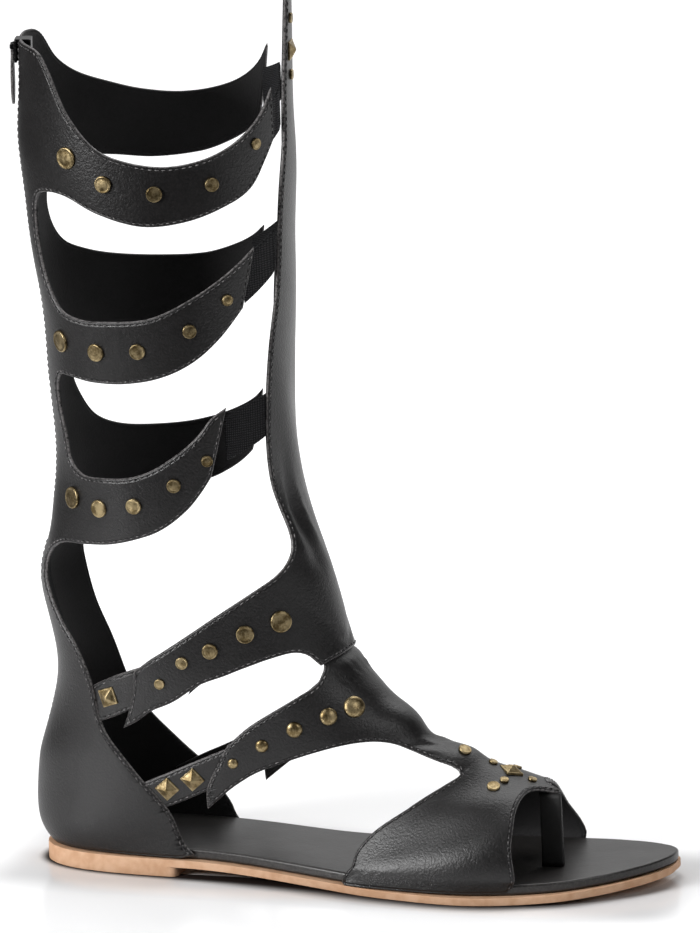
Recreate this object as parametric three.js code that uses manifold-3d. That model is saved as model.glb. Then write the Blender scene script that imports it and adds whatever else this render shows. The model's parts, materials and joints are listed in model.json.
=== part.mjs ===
// Knee-high gladiator sandal, right foot, in millimetres.
// x runs from the heel to the toe, y to the inner side, z up from the floor.
import * as THREE from "three";
import { mergeVertices } from "three/addons/utils/BufferGeometryUtils.js";
import Module from "manifold-3d";

const wasm = await Module();
wasm.setup();

// Driving sizes of the shoe.
const soleLength = 258;
const ballWidth = 84;
const ankleHeight = 126;
const shaftHeight = 368;
const calfDepth = 111;
const calfWidth = 100;
const wall = 2.0;
const gap = 0.3;

// Driving sizes of the bottom.
const outsoleThick = 3.2;
const heelThick = 4.0;
const boardThick = 4.2;
const heelBlockLength = 61;
const toeSpring = 4.7;

// Driving sizes of the trim.
const goreThick = 1.2;
const coilWidth = 4.4;
const coilThick = 1.4;
const studRise = 1.1;
const pyramidSide = 7.0;
const pyramidRise = 2.2;
const postWidth = 9;
const postThick = 2.4;
const pullLength = 24;
const pullWidth = 9;
const pullThick = 1.2;

// Shaft sections from above the collar to above the ankle: height between ankle and shaft top,
// back and front as shares of the calf depth, half width as a share of the calf width.
const shaftRows = [
  { up: 1.18, back: -0.284, front: 0.695, half: 0.5 },
  { up: 0.843, back: -0.286, front: 0.7, half: 0.5 },
  { up: 0.678, back: -0.284, front: 0.703, half: 0.5 },
  { up: 0.525, back: -0.25, front: 0.696, half: 0.49 },
  { up: 0.343, back: -0.205, front: 0.686, half: 0.46 },
  { up: 0.147, back: -0.187, front: 0.703, half: 0.43 },
];

// Foot sections, each a plane from the back or the underside to the instep: positions as shares
// of the sole length, heights of the ankle height, widths and their centre of the ball width.
const footRows = [
  { back: -0.114, backUp: 0.984, front: 0.346, frontUp: 1.016, lat: 0.476, med: 0.476, aside: 0, mid: 0.46, fp: 2.1, bp: 2.1 },
  { back: -0.097, backUp: 0.603, front: 0.387, frontUp: 0.738, lat: 0.452, med: 0.452, aside: 0, mid: 0.44, fp: 2.1, bp: 2.2 },
  { back: -0.126, backUp: 0.333, front: 0.438, frontUp: 0.603, lat: 0.429, med: 0.429, aside: 0, mid: 0.42, fp: 2.1, bp: 2.3 },
  { back: -0.12, backUp: 0.111, front: 0.481, frontUp: 0.536, lat: 0.4, med: 0.4, aside: 0, mid: 0.4, fp: 2.1, bp: 2.5 },
  { back: -0.047, backUp: -0.016, front: 0.519, frontUp: 0.48, lat: 0.352, med: 0.346, aside: 0, mid: 0.38, fp: 2.1, bp: 2.8 },
  { back: 0.097, backUp: -0.032, front: 0.562, frontUp: 0.429, lat: 0.345, med: 0.317, aside: 0, mid: 0.34, fp: 2.1, bp: 3.2 },
  { back: 0.252, backUp: -0.04, front: 0.609, frontUp: 0.381, lat: 0.393, med: 0.322, aside: 0, mid: 0.32, fp: 2.1, bp: 3.6 },
  { back: 0.407, backUp: -0.048, front: 0.659, frontUp: 0.345, lat: 0.482, med: 0.393, aside: 0, mid: 0.32, fp: 2.1, bp: 4 },
  { back: 0.562, backUp: -0.048, front: 0.705, frontUp: 0.313, lat: 0.512, med: 0.476, aside: 0, mid: 0.34, fp: 2.1, bp: 4 },
  { back: 0.717, backUp: -0.04, front: 0.775, frontUp: 0.27, lat: 0.42, med: 0.464, aside: 0, mid: 0.36, fp: 2.1, bp: 4 },
  { back: 0.791, backUp: -0.032, front: 0.822, frontUp: 0.222, lat: 0.357, med: 0.357, aside: 0.06, mid: 0.4, fp: 2.4, bp: 4 },
  { back: 0.826, backUp: -0.032, front: 0.849, frontUp: 0.19, lat: 0.292, med: 0.292, aside: 0.083, mid: 0.4, fp: 2.6, bp: 4 },
  { back: 0.855, backUp: -0.032, front: 0.874, frontUp: 0.175, lat: 0.214, med: 0.214, aside: 0.107, mid: 0.4, fp: 2.8, bp: 4 },
  { back: 0.874, backUp: -0.032, front: 0.888, frontUp: 0.16, lat: 0.149, med: 0.149, aside: 0.125, mid: 0.4, fp: 3, bp: 4 },
  { back: 0.886, backUp: -0.032, front: 0.897, frontUp: 0.143, lat: 0.077, med: 0.077, aside: 0.143, mid: 0.4, fp: 3, bp: 4 },
];

const lastRows = [
  ...shaftRows.map((r) => {
    const z = ankleHeight + r.up * (shaftHeight - ankleHeight);
    const half = r.half * calfWidth;
    return {
      bx: r.back * calfDepth, bz: z, fx: r.front * calfDepth, fz: z,
      lat: half, med: half, aside: 0, mid: 0.5, fp: 2.1, bp: 2.1,
    };
  }),
  ...footRows.map((r) => ({
    bx: r.back * soleLength, bz: r.backUp * ankleHeight,
    fx: r.front * soleLength, fz: r.frontUp * ankleHeight,
    lat: r.lat * ballWidth, med: r.med * ballWidth, aside: r.aside * ballWidth,
    mid: r.mid, fp: r.fp, bp: r.bp,
  })),
];

// A smooth curve through a table's rows, at a place counted in rows.
function rowAt(rows, place) {
  const last = rows.length - 1;
  const s = Math.min(Math.max(place, 0), last);
  const i = Math.min(Math.floor(s), last - 1);
  const u = s - i;
  const out = {};
  for (const key of Object.keys(rows[0])) {
    if (typeof rows[0][key] !== "number") continue;
    const near = [-1, 0, 1, 2].map((k) => rows[Math.min(Math.max(i + k, 0), last)][key]);
    const [a, b, c, d] = near;
    out[key] = b + 0.5 * u * (c - a + u * (2 * a - 5 * b + 4 * c - d + u * (3 * (b - c) + d - a)));
  }
  return out;
}

// The point of the last at a turn in degrees from the centre back (inner side positive), at a
// section counted in rows, and inset from the outside of the leather.
function onLast(turn, row, inset) {
  const r = rowAt(lastRows, row);
  const angle = THREE.MathUtils.degToRad(turn);
  const [ahead, aside] = [-Math.cos(angle), Math.sin(angle)];
  const span = Math.hypot(r.fx - r.bx, r.fz - r.bz);
  const reach = (ahead > 0 ? 1 - r.mid : r.mid) * span - inset;
  const power = 2 / (ahead > 0 ? r.fp : r.bp);
  const half = (aside > 0 ? r.med : r.lat) - inset;
  const along = (r.mid * span + Math.sign(ahead) * Math.abs(ahead) ** power * reach) / span;
  const y = r.aside + Math.sign(aside) * Math.abs(aside) ** power * half;
  return new THREE.Vector3(r.bx + (r.fx - r.bx) * along, y, r.bz + (r.fz - r.bz) * along);
}

// The middle of a section, which closes the ends of a loft.
function midOfRow(row) {
  const r = rowAt(lastRows, row);
  return new THREE.Vector3(
    r.bx + (r.fx - r.bx) * r.mid,
    r.aside,
    r.bz + (r.fz - r.bz) * r.mid,
  );
}

// A three.js geometry as a solid.
function solid(geometry) {
  const bare = geometry.clone();
  bare.deleteAttribute("normal");
  bare.deleteAttribute("uv");
  const merged = mergeVertices(bare, 1e-4);
  return new wasm.Manifold(
    new wasm.Mesh({
      numProp: 3,
      vertProperties: merged.attributes.position.array,
      triVerts: new Uint32Array(merged.index.array),
    }),
  );
}

// A solid as a three.js geometry.
function geometryOf(body) {
  const m = body.getMesh();
  const g = new THREE.BufferGeometry();
  g.setAttribute("position", new THREE.BufferAttribute(new Float32Array(m.vertProperties), 3));
  g.setIndex(new THREE.BufferAttribute(new Uint32Array(m.triVerts), 1));
  return g;
}

// Every vertex of a geometry moved to a place worked out from where it was.
function shaped(geometry, place) {
  const p = geometry.getAttribute("position");
  for (let i = 0; i < p.count; i++) {
    const q = place(p.getX(i), p.getY(i), p.getZ(i));
    p.setXYZ(i, q.x, q.y, q.z);
  }
  return geometry;
}

// The closed form inside the last between two sections.
function loft(inset, first, last, around, steps) {
  return shaped(new THREE.CylinderGeometry(1, 1, 1, around, steps, false), (x, y, z) => {
    const row = first + (0.5 - y) * (last - first);
    if (Math.hypot(x, z) < 0.5) return midOfRow(row);
    const turn = THREE.MathUtils.radToDeg(Math.atan2(-z, -x));
    return onLast(turn, row, inset);
  });
}

// A piece of the last's skin between two insets, where spot(u, v) gives a turn and a row.
function skin(spot, outer, inner, across, down) {
  const made = shaped(new THREE.BoxGeometry(1, 1, 1, across, down, 1), (x, y, z) => {
    const at = spot(x + 0.5, 0.5 - y);
    return onLast(at.turn, at.row, z > 0 ? outer : inner);
  });
  const body = solid(made);
  if (body.volume() > 0) return body;
  const index = made.index.array;
  for (let i = 0; i < index.length; i += 3) {
    [index[i + 1], index[i + 2]] = [index[i + 2], index[i + 1]];
  }
  return solid(made);
}

// Skin between the top and low rows of a table whose rows stand at given turns.
function band(side, rows, outer, inner, across, down, trim = 0) {
  return skin(
    (u, v) => {
      const r = rowAt(rows, trim + u * (rows.length - 1 - 2 * trim));
      return { turn: side * r.turn, row: r.top + (r.low - r.top) * v };
    },
    outer, inner, across, down,
  );
}

// Height of the underside of the outsole: lifted on the heel, flat under the ball, sprung at the toe.
const heelBack = -0.1085 * soleLength;
const breastX = heelBack + heelBlockLength;
const ballX = 0.6 * soleLength + heelBack;
const springX = 0.69 * soleLength + heelBack;
const toeX = soleLength + heelBack;
function groundUp(x) {
  const fall = THREE.MathUtils.clamp((x - breastX) / (ballX - 8 - breastX), 0, 1);
  const rise = Math.max(0, (x - springX) / (toeX - springX));
  return heelThick * (0.5 + 0.5 * Math.cos(Math.PI * fall)) + toeSpring * rise * rise;
}

// The last's outline at a height, at one section: place along the foot and both sides.
const outlineUp = 10;
function outlineAt(row, inset) {
  const r = rowAt(lastRows, row);
  const span = Math.hypot(r.fx - r.bx, r.fz - r.bz);
  const along = ((outlineUp - r.bz) * span) / (r.fz - r.bz);
  const reach = (along > r.mid * span ? 1 - r.mid : r.mid) * span - inset;
  const share = Math.min(Math.abs(along - r.mid * span) / reach, 1);
  const power = along > r.mid * span ? r.fp : r.bp;
  const round = Math.max(1 - share ** power, 0) ** (1 / power);
  return {
    x: r.bx + ((r.fx - r.bx) * along) / span,
    out: r.aside - (r.lat - inset) * round,
    in: r.aside + (r.med - inset) * round,
    round,
  };
}

// The rearmost section whose outline is still open to a given roundness.
function firstRow(inset) {
  let [low, high] = [8, 11];
  for (let i = 0; i < 40; i++) {
    const middle = (low + high) / 2;
    if (outlineAt(middle, inset).round > 0.25) high = middle;
    else low = middle;
  }
  return high;
}

// A layer of the bottom that follows the outline and the ground between two heights.
function layer(inset, lower, upper, endX, steps) {
  const first = firstRow(inset);
  let last = lastRows.length - 1;
  while (outlineAt(last, inset).x > endX && last > first) last -= 0.002;
  const place = (x, y, z) => {
    const u = x + 0.5;
    const o = outlineAt(first + (last - first) * u, inset);
    const along = o.x;
    const across = o.out + (o.in - o.out) * (y + 0.5);
    return new THREE.Vector3(along, across, z < 0 ? lower(along) : upper(along));
  };
  return solid(shaped(new THREE.BoxGeometry(1, 1, 1, steps, 1, 1), place));
}

const outsoleTop = (x) => groundUp(x) + outsoleThick;
const boardLow = (x) => outsoleTop(x) + gap;
const boardTop = (x) => boardLow(x) + boardThick;

const outsole = layer(-0.4, groundUp, outsoleTop, toeX + 10, 56);
const heel = layer(0.2, () => 0, () => heelThick - gap, breastX, 24);
const board = layer(wall + gap, boardLow, boardTop, toeX + 10, 36).intersect(
  solid(loft(wall + 3 * gap, 7, lastRows.length - 1, 24, 26)),
);

// Openings of the upper: each row stands at a turn from the centre back and gives the section
// rows between which the leather is open there.
const outerSide = -1;
const innerSide = 1;
const openings = [
  { side: outerSide, rows: [
    { turn: -3, top: 0.15, low: 0.88 }, { turn: 26, top: 0.15, low: 0.87 }, { turn: 50, top: 0.15, low: 0.88 },
    { turn: 58, top: 0.15, low: 1.0 }, { turn: 68, top: 0.15, low: 1.29 }, { turn: 84, top: 0.15, low: 1.67 },
    { turn: 104, top: 0.15, low: 1.8 }, { turn: 122, top: 0.15, low: 1.755 }, { turn: 140, top: 0.15, low: 1.58 },
    { turn: 157, top: 0.15, low: 1.33 }, { turn: 167, top: 0.15, low: 1.14 }, { turn: 175, top: 0.15, low: 1.02 },
    { turn: 181, top: 0.15, low: 0.85 }, { turn: 185, top: 0.15, low: 0.6 },
  ] },
  { side: innerSide, rows: [
    { turn: -3, top: 0.15, low: 0.88 }, { turn: 12, top: 0.15, low: 0.93 }, { turn: 24, top: 0.15, low: 1.08 },
    { turn: 37, top: 0.15, low: 1.28 }, { turn: 50, top: 0.15, low: 1.43 }, { turn: 68, top: 0.15, low: 1.54 },
    { turn: 86, top: 0.15, low: 1.52 }, { turn: 104, top: 0.15, low: 1.36 }, { turn: 120, top: 0.15, low: 1.16 },
    { turn: 132, top: 0.15, low: 1.0 }, { turn: 141, top: 0.15, low: 0.86 }, { turn: 147, top: 0.15, low: 0.58 },
    { turn: 156, top: 0.15, low: 0.5 }, { turn: 185, top: 0.15, low: 0.49 },
  ] },
  { side: outerSide, rows: [
    { turn: 38, top: 2.4, low: 2.8 }, { turn: 43, top: 2.26, low: 3.12 }, { turn: 51, top: 2.18, low: 3.42 },
    { turn: 64, top: 2.18, low: 3.49 }, { turn: 80, top: 2.34, low: 3.47 }, { turn: 98, top: 2.46, low: 3.41 },
    { turn: 116, top: 2.43, low: 3.25 }, { turn: 132, top: 2.31, low: 3.07 }, { turn: 147, top: 2.13, low: 2.88 },
    { turn: 159, top: 1.8, low: 2.82 }, { turn: 168, top: 1.64, low: 2.7 },
  ] },
  { side: innerSide, rows: [
    { turn: 14, top: 2.4, low: 2.85 }, { turn: 20, top: 2.26, low: 3.1 }, { turn: 34, top: 2.2, low: 3.24 },
    { turn: 52, top: 2.24, low: 3.32 }, { turn: 72, top: 2.29, low: 3.34 }, { turn: 90, top: 2.22, low: 3.31 },
    { turn: 104, top: 2.06, low: 3.19 }, { turn: 116, top: 1.9, low: 3.04 }, { turn: 128, top: 1.68, low: 2.88 },
    { turn: 137, top: 1.5, low: 2.7 },
  ] },
  { side: outerSide, rows: [
    { turn: 36, top: 4.12, low: 4.42 }, { turn: 42, top: 4.03, low: 4.78 }, { turn: 52, top: 4.02, low: 4.88 },
    { turn: 68, top: 4.06, low: 4.88 }, { turn: 86, top: 4.03, low: 4.83 }, { turn: 102, top: 3.92, low: 4.67 },
    { turn: 116, top: 3.83, low: 4.49 }, { turn: 127, top: 3.67, low: 4.36 }, { turn: 138, top: 3.46, low: 4.3 },
    { turn: 149, top: 3.29, low: 4.28 }, { turn: 158.5, top: 3.2, low: 4.22 },
  ] },
  { side: innerSide, rows: [
    { turn: 14, top: 4.05, low: 4.38 }, { turn: 20, top: 3.97, low: 4.5 }, { turn: 30, top: 3.93, low: 4.66 },
    { turn: 46, top: 3.93, low: 4.79 }, { turn: 66, top: 3.95, low: 4.81 }, { turn: 84, top: 3.9, low: 4.76 },
    { turn: 100, top: 3.76, low: 4.65 }, { turn: 114, top: 3.58, low: 4.51 }, { turn: 124, top: 3.4, low: 4.4 },
    { turn: 131, top: 3.27, low: 4.32 },
  ] },
  { side: outerSide, rows: [
    { turn: 27, top: 5.9, low: 6.1 }, { turn: 34, top: 5.78, low: 6.3 }, { turn: 46, top: 5.67, low: 6.55 },
    { turn: 58, top: 5.64, low: 6.88 }, { turn: 63, top: 5.63, low: 6.93 }, { turn: 76, top: 5.58, low: 6.84 },
    { turn: 92, top: 5.46, low: 6.7 }, { turn: 106, top: 5.2, low: 6.5 }, { turn: 118, top: 4.91, low: 6.33 },
    { turn: 130, top: 4.66, low: 6.13 }, { turn: 144, top: 4.58, low: 5.98 }, { turn: 153, top: 4.56, low: 5.84 },
    { turn: 157, top: 5.1, low: 5.7 },
  ] },
  { side: innerSide, rows: [
    { turn: 29, top: 5.78, low: 6.05 }, { turn: 36, top: 5.66, low: 6.45 }, { turn: 46, top: 5.58, low: 6.82 },
    { turn: 56, top: 5.52, low: 7.14 }, { turn: 64, top: 5.48, low: 7.22 }, { turn: 76, top: 5.43, low: 7.17 },
    { turn: 92, top: 5.28, low: 7.02 }, { turn: 104, top: 5.07, low: 6.84 }, { turn: 116, top: 4.86, low: 6.62 },
    { turn: 127, top: 4.7, low: 6.38 }, { turn: 138, top: 4.64, low: 6.14 }, { turn: 147, top: 4.8, low: 5.9 },
    { turn: 152, top: 5.2, low: 5.72 },
  ] },
  { side: outerSide, rows: [
    { turn: 76, top: 7.62, low: 7.95 }, { turn: 80, top: 7.52, low: 8.25 }, { turn: 86, top: 7.44, low: 8.6 },
    { turn: 93, top: 7.34, low: 8.52 }, { turn: 101, top: 7.2, low: 8.4 }, { turn: 109, top: 7.05, low: 8.24 },
    { turn: 118, top: 6.94, low: 7.92 }, { turn: 127, top: 6.87, low: 7.7 }, { turn: 137, top: 6.86, low: 7.52 },
    { turn: 144, top: 6.93, low: 7.4 }, { turn: 150, top: 7.08, low: 7.24 },
  ] },
  { side: innerSide, rows: [
    { turn: 77, top: 7.86, low: 8.15 }, { turn: 81, top: 7.8, low: 8.5 }, { turn: 87, top: 7.74, low: 8.88 },
    { turn: 93, top: 7.66, low: 8.86 }, { turn: 101, top: 7.54, low: 8.76 }, { turn: 109, top: 7.38, low: 8.56 },
    { turn: 118, top: 7.2, low: 8.22 }, { turn: 127, top: 7.06, low: 7.92 }, { turn: 137, top: 6.98, low: 7.62 },
    { turn: 144, top: 6.98, low: 7.44 }, { turn: 150, top: 7.1, low: 7.25 },
  ] },
  { side: outerSide, rows: [
    { turn: -3, top: 11.3, low: 13.4 }, { turn: 40, top: 11.2, low: 13.3 }, { turn: 66, top: 11.0, low: 12.95 },
    { turn: 77, top: 10.65, low: 12.7 }, { turn: 84, top: 10.15, low: 12.55 }, { turn: 88.5, top: 9.5, low: 12.45 },
    { turn: 95, top: 9.3, low: 12.3 }, { turn: 103, top: 9.27, low: 12.15 }, { turn: 112, top: 9.08, low: 12.02 },
    { turn: 122, top: 9.02, low: 11.97 }, { turn: 131, top: 9.09, low: 11.97 }, { turn: 139, top: 9.17, low: 11.98 },
    { turn: 146, top: 9.4, low: 11.95 }, { turn: 151.5, top: 9.85, low: 11.88 }, { turn: 155, top: 10.7, low: 11.78 },
  ] },
  { side: innerSide, rows: [
    { turn: -3, top: 11.3, low: 13.4 }, { turn: 40, top: 11.2, low: 13.3 }, { turn: 66, top: 11.0, low: 12.95 },
    { turn: 77, top: 10.65, low: 12.7 }, { turn: 84, top: 10.2, low: 12.55 }, { turn: 88.5, top: 9.86, low: 12.45 },
    { turn: 95, top: 9.72, low: 12.3 }, { turn: 103, top: 9.6, low: 12.15 }, { turn: 112, top: 9.4, low: 12.02 },
    { turn: 122, top: 9.28, low: 11.97 }, { turn: 131, top: 9.26, low: 11.97 }, { turn: 139, top: 9.3, low: 11.98 },
    { turn: 146, top: 9.48, low: 11.95 }, { turn: 151.5, top: 9.9, low: 11.88 }, { turn: 155, top: 10.7, low: 11.78 },
  ] },
  { side: outerSide, rows: [
    { turn: -3, top: 14.88, low: 16 }, { turn: 60, top: 14.8, low: 16 }, { turn: 86, top: 14.62, low: 16 },
    { turn: 102, top: 14.48, low: 16 }, { turn: 118, top: 14.27, low: 16 }, { turn: 134, top: 14.04, low: 16 },
    { turn: 147, top: 13.79, low: 16 }, { turn: 157, top: 13.64, low: 16 }, { turn: 166, top: 13.6, low: 16 },
    { turn: 172, top: 13.7, low: 16 }, { turn: 176, top: 14.0, low: 16 }, { turn: 180, top: 14.25, low: 16 },
    { turn: 184, top: 14.0, low: 16 },
  ] },
  { side: innerSide, rows: [
    { turn: -3, top: 14.94, low: 16 }, { turn: 60, top: 14.92, low: 16 }, { turn: 86, top: 14.88, low: 16 },
    { turn: 103, top: 14.74, low: 16 }, { turn: 119, top: 14.46, low: 16 }, { turn: 134, top: 14.18, low: 16 },
    { turn: 148, top: 13.96, low: 16 }, { turn: 158, top: 13.8, low: 16 }, { turn: 166, top: 13.74, low: 16 },
    { turn: 172, top: 13.84, low: 16 }, { turn: 176, top: 14.08, low: 16 }, { turn: 180, top: 14.25, low: 16 },
    { turn: 184, top: 14.0, low: 16 },
  ] },
];

// Elastic gores between a strap's end and the shin panel, as four-cornered patches of skin.
const gores = [
  { name: "gore_outer_1", side: outerSide, rows: [{ turn: 163, top: 1.28, low: 1.72 }, { turn: 174, top: 1.16, low: 1.56 }] },
  { name: "gore_outer_2", side: outerSide, rows: [{ turn: 148, top: 2.85, low: 3.33 }, { turn: 163, top: 2.72, low: 3.17 }] },
  { name: "gore_outer_3", side: outerSide, rows: [{ turn: 133, top: 4.3, low: 4.68 }, { turn: 154, top: 4.22, low: 4.57 }] },
  { name: "gore_inner_1", side: innerSide, rows: [{ turn: 128, top: 1.03, low: 1.66 }, { turn: 138, top: 0.92, low: 1.5 }] },
  { name: "gore_inner_2", side: innerSide, rows: [{ turn: 118, top: 3.0, low: 3.52 }, { turn: 130, top: 2.86, low: 3.3 }] },
  { name: "gore_inner_3", side: innerSide, rows: [{ turn: 114, top: 4.49, low: 4.87 }, { turn: 127, top: 4.36, low: 4.7 }] },
];

// The zip runs down the centre of the back strip.
const zipLine = [
  { row: 0.6, turn: -14 },
  { row: 2.5, turn: -14 },
  { row: 4.5, turn: -13 },
  { row: 6.2, turn: -5 },
  { row: 8.3, turn: 0 },
];
function zipSpot(u, v, width, first, last) {
  const row = first + v * (last - first);
  const place = THREE.MathUtils.clamp(row, 0.6, 8.3);
  const i = zipLine.findIndex((r, k) => k === zipLine.length - 2 || place < zipLine[k + 1].row);
  const [a, b] = [zipLine[i], zipLine[i + 1]];
  const middle = a.turn + ((b.turn - a.turn) * (place - a.row)) / (b.row - a.row);
  const r = rowAt(lastRows, row);
  const round = ((r.lat + r.med) / 2 + r.mid * Math.hypot(r.fx - r.bx, r.fz - r.bz)) / 2;
  const spread = THREE.MathUtils.radToDeg(width / round);
  return { turn: middle + (u - 0.5) * spread, row };
}

// The inner side's ankle and heel straps stand lower, by this share of a section.
const innerDrop = 0.3;

// Short heel straps that leave the counter under the tails of the ankle straps.
const heelStraps = [
  [{ turn: 56, top: 7.06, low: 7.5 }, { turn: 68, top: 6.94, low: 7.46 }, { turn: 80, top: 6.86, low: 7.34 }, { turn: 96, top: 6.78, low: 7.1 }],
  [{ turn: 80, top: 8.7, low: 9.32 }, { turn: 90, top: 8.58, low: 9.29 }, { turn: 98, top: 8.47, low: 9.22 }, { turn: 107, top: 8.35, low: 9.1 }],
];

function buildUpper() {
  let body = solid(loft(0, 0.3, 14.9, 30, 30)).subtract(solid(loft(wall, 0, 15.2, 24, 30)));
  for (const o of openings) {
    body = body.subtract(band(o.side, o.rows, -5, 9, (o.rows.length - 1) * 2, 3));
  }
  for (const g of gores) {
    body = body.subtract(band(g.side, g.rows, -5, 9, 3, 2));
  }
  body = body.subtract(skin((u, v) => zipSpot(u, v, coilWidth + 2 * gap, 0.4, 8.3), -5, 8, 1, 20));
  for (const side of [outerSide, innerSide]) {
    for (const rows of heelStraps) {
      const placed = rows.map((r) => ({
        turn: r.turn,
        top: r.top + (side > 0 ? innerDrop : 0),
        low: r.low + (side > 0 ? innerDrop : 0),
      }));
      body = body.add(band(side, placed, 0.8, wall + 1, 8, 2));
    }
  }
  const below = shaped(new THREE.BoxGeometry(1, 1, 1, 60, 1, 1), (x, y, z) => {
    const along = heelBack - 40 + (x + 0.5) * (soleLength + 80);
    return new THREE.Vector3(along, y * 300, z < 0 ? -60 : boardLow(along));
  });
  return body.subtract(solid(below));
}

// Round studs on the outer side's straps: turn, row and diameter of each.
const studRows = [
  { name: "stud_calf", side: outerSide, at: [
    [67, 1.75, 8.6], [84, 2.01, 7], [104, 2.1, 6.4], [129, 2.02, 5.8], [153, 1.63, 4.6],
  ] },
  { name: "stud_mid", side: outerSide, at: [
    [49, 3.73, 8.6], [72, 3.77, 7.2], [92, 3.73, 6.4], [116, 3.54, 5.6], [135, 3.28, 4.6],
  ] },
  { name: "stud_low", side: outerSide, at: [
    [47, 5.14, 8.6], [67, 5.19, 7.2], [85, 5.12, 6.4], [103, 4.9, 5.6], [120, 4.68, 4.6],
  ] },
  { name: "stud_ankle", side: outerSide, at: [
    [91, 7.01, 4.2], [99, 6.8, 5], [109, 6.71, 6.4], [123, 6.58, 7.2], [139, 6.5, 8.6],
  ] },
  { name: "stud_instep", side: outerSide, at: [
    [108, 8.69, 4.2], [117, 8.47, 5.2], [128, 8.28, 6.4], [141, 8.18, 7], [153, 8.13, 8.6],
  ] },
  { name: "stud_vamp", side: outerSide, at: [
    [158, 12.7, 5.4], [167, 12.74, 3.6], [180, 12.06, 3.6], [180, 13.38, 3.6], [-167, 12.74, 3.6], [-158, 12.7, 5.4],
    [180, 11.26, 5.4],
  ] },
];

// Pyramid studs of the heel straps, the vamp and the top of the shin panel.
const pyramids = [
  { name: "pyramid_heel_outer_1", turn: -70, row: 7.14 },
  { name: "pyramid_heel_outer_2", turn: -90.5, row: 8.88 },
  { name: "pyramid_heel_outer_3", turn: -97.5, row: 8.82 },
  { name: "pyramid_heel_inner_1", turn: 70, row: 7.14 + innerDrop },
  { name: "pyramid_heel_inner_2", turn: 90.5, row: 8.88 + innerDrop },
  { name: "pyramid_heel_inner_3", turn: 97.5, row: 8.82 + innerDrop },
  { name: "pyramid_vamp", turn: 180, row: 12.65 },
  { name: "pyramid_shin", turn: 172, row: 0.86 },
];

const goreClear = 0.4;

const root = new THREE.Group();
root.name = "gladiator_sandal";

function addNode(name, geometry, colour) {
  const mesh = new THREE.Mesh(geometry, new THREE.MeshStandardMaterial({ color: colour }));
  mesh.name = name;
  root.add(mesh);
  return mesh;
}

const tan = 0xdeaa7d;
const black = 0x1a1a1c;
const brass = 0x9a7b4a;

addNode("outsole", geometryOf(outsole), tan);
addNode("heel", geometryOf(heel), tan);
addNode("insole", geometryOf(board), black);
addNode("upper", geometryOf(buildUpper()), black);

for (const g of gores) {
  const inside = g.rows.map((r, i) => ({
    turn: r.turn + (i ? -1 : 1) * goreClear,
    top: r.top + goreClear / 45,
    low: r.low - goreClear / 45,
  }));
  const outer = (wall - goreThick) / 2;
  addNode(g.name, geometryOf(band(g.side, inside, outer, outer + goreThick, 4, 2)), black);
}

const coil = skin((u, v) => zipSpot(u, v, coilWidth, 0.92, 8.2), 0.2, 0.2 + coilThick, 1, 20);
addNode("zip_coil", geometryOf(coil), black);

// A frame on the leather: z outward, y towards the top of the shaft.
function seat(turn, row, lift) {
  const at = onLast(turn, row, 0);
  const up = onLast(turn, row - 0.05, 0).sub(onLast(turn, row + 0.05, 0)).normalize();
  const round = onLast(turn + 1, row, 0).sub(onLast(turn - 1, row, 0)).normalize();
  const out = new THREE.Vector3().crossVectors(up, round).normalize();
  const outward = out.dot(at.clone().sub(midOfRow(row))) > 0 ? out : out.negate();
  const side = new THREE.Vector3().crossVectors(up, outward).normalize();
  const level = new THREE.Vector3().crossVectors(outward, side).normalize();
  const frame = new THREE.Matrix4().makeBasis(side, level, outward);
  return frame.setPosition(at.addScaledVector(outward, lift));
}

// A domed round stud, its flat back on the leather.
function roundStud(across) {
  const r = across / 2;
  const profile = [
    new THREE.Vector2(0, 0), new THREE.Vector2(r, 0), new THREE.Vector2(r, 0.45 * studRise),
    new THREE.Vector2(0.72 * r, 0.85 * studRise), new THREE.Vector2(0, studRise),
  ];
  return new THREE.LatheGeometry(profile, 10).rotateX(Math.PI / 2);
}

// A square stud with a low pyramid on a thin rim.
function pyramidStud() {
  const r = pyramidSide / Math.SQRT2;
  const profile = [
    new THREE.Vector2(0, 0), new THREE.Vector2(r, 0),
    new THREE.Vector2(r, 0.25 * pyramidRise), new THREE.Vector2(0, pyramidRise),
  ];
  return new THREE.LatheGeometry(profile, 4).rotateY(Math.PI / 4).rotateX(Math.PI / 2);
}

for (const row of studRows) {
  row.at.forEach(([turn, place, across], i) => {
    const stud = solid(roundStud(across).applyMatrix4(seat(row.side * turn, place, gap)));
    addNode(`${row.name}_${i + 1}`, geometryOf(stud), brass);
  });
}
for (const p of pyramids) {
  const stud = solid(pyramidStud().applyMatrix4(seat(p.turn, p.row, gap + 0.1)));
  addNode(p.name, geometryOf(stud), brass);
}

// The folded toe post stands on the insole under the tip of the vamp's tongue.
const postFoot = new THREE.Vector3(0.716 * soleLength, -7, 0);
const postTop = new THREE.Vector3(0.7055 * soleLength, -0.5, 50);
const post = solid(
  shaped(new THREE.BoxGeometry(1, 1, 1, 1, 1, 8), (x, y, z) => {
    const v = z + 0.5;
    const base = boardTop(postFoot.x + postWidth / 2) + gap;
    const at = postFoot.clone().lerp(postTop, v ** 1.2);
    return new THREE.Vector3(at.x + x * postWidth, at.y + y * postThick, base + (postTop.z - base) * v);
  }),
).intersect(solid(loft(wall + 2 * gap, 12, 17, 30, 12)));
addNode("toe_post", geometryOf(post), black);

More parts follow.
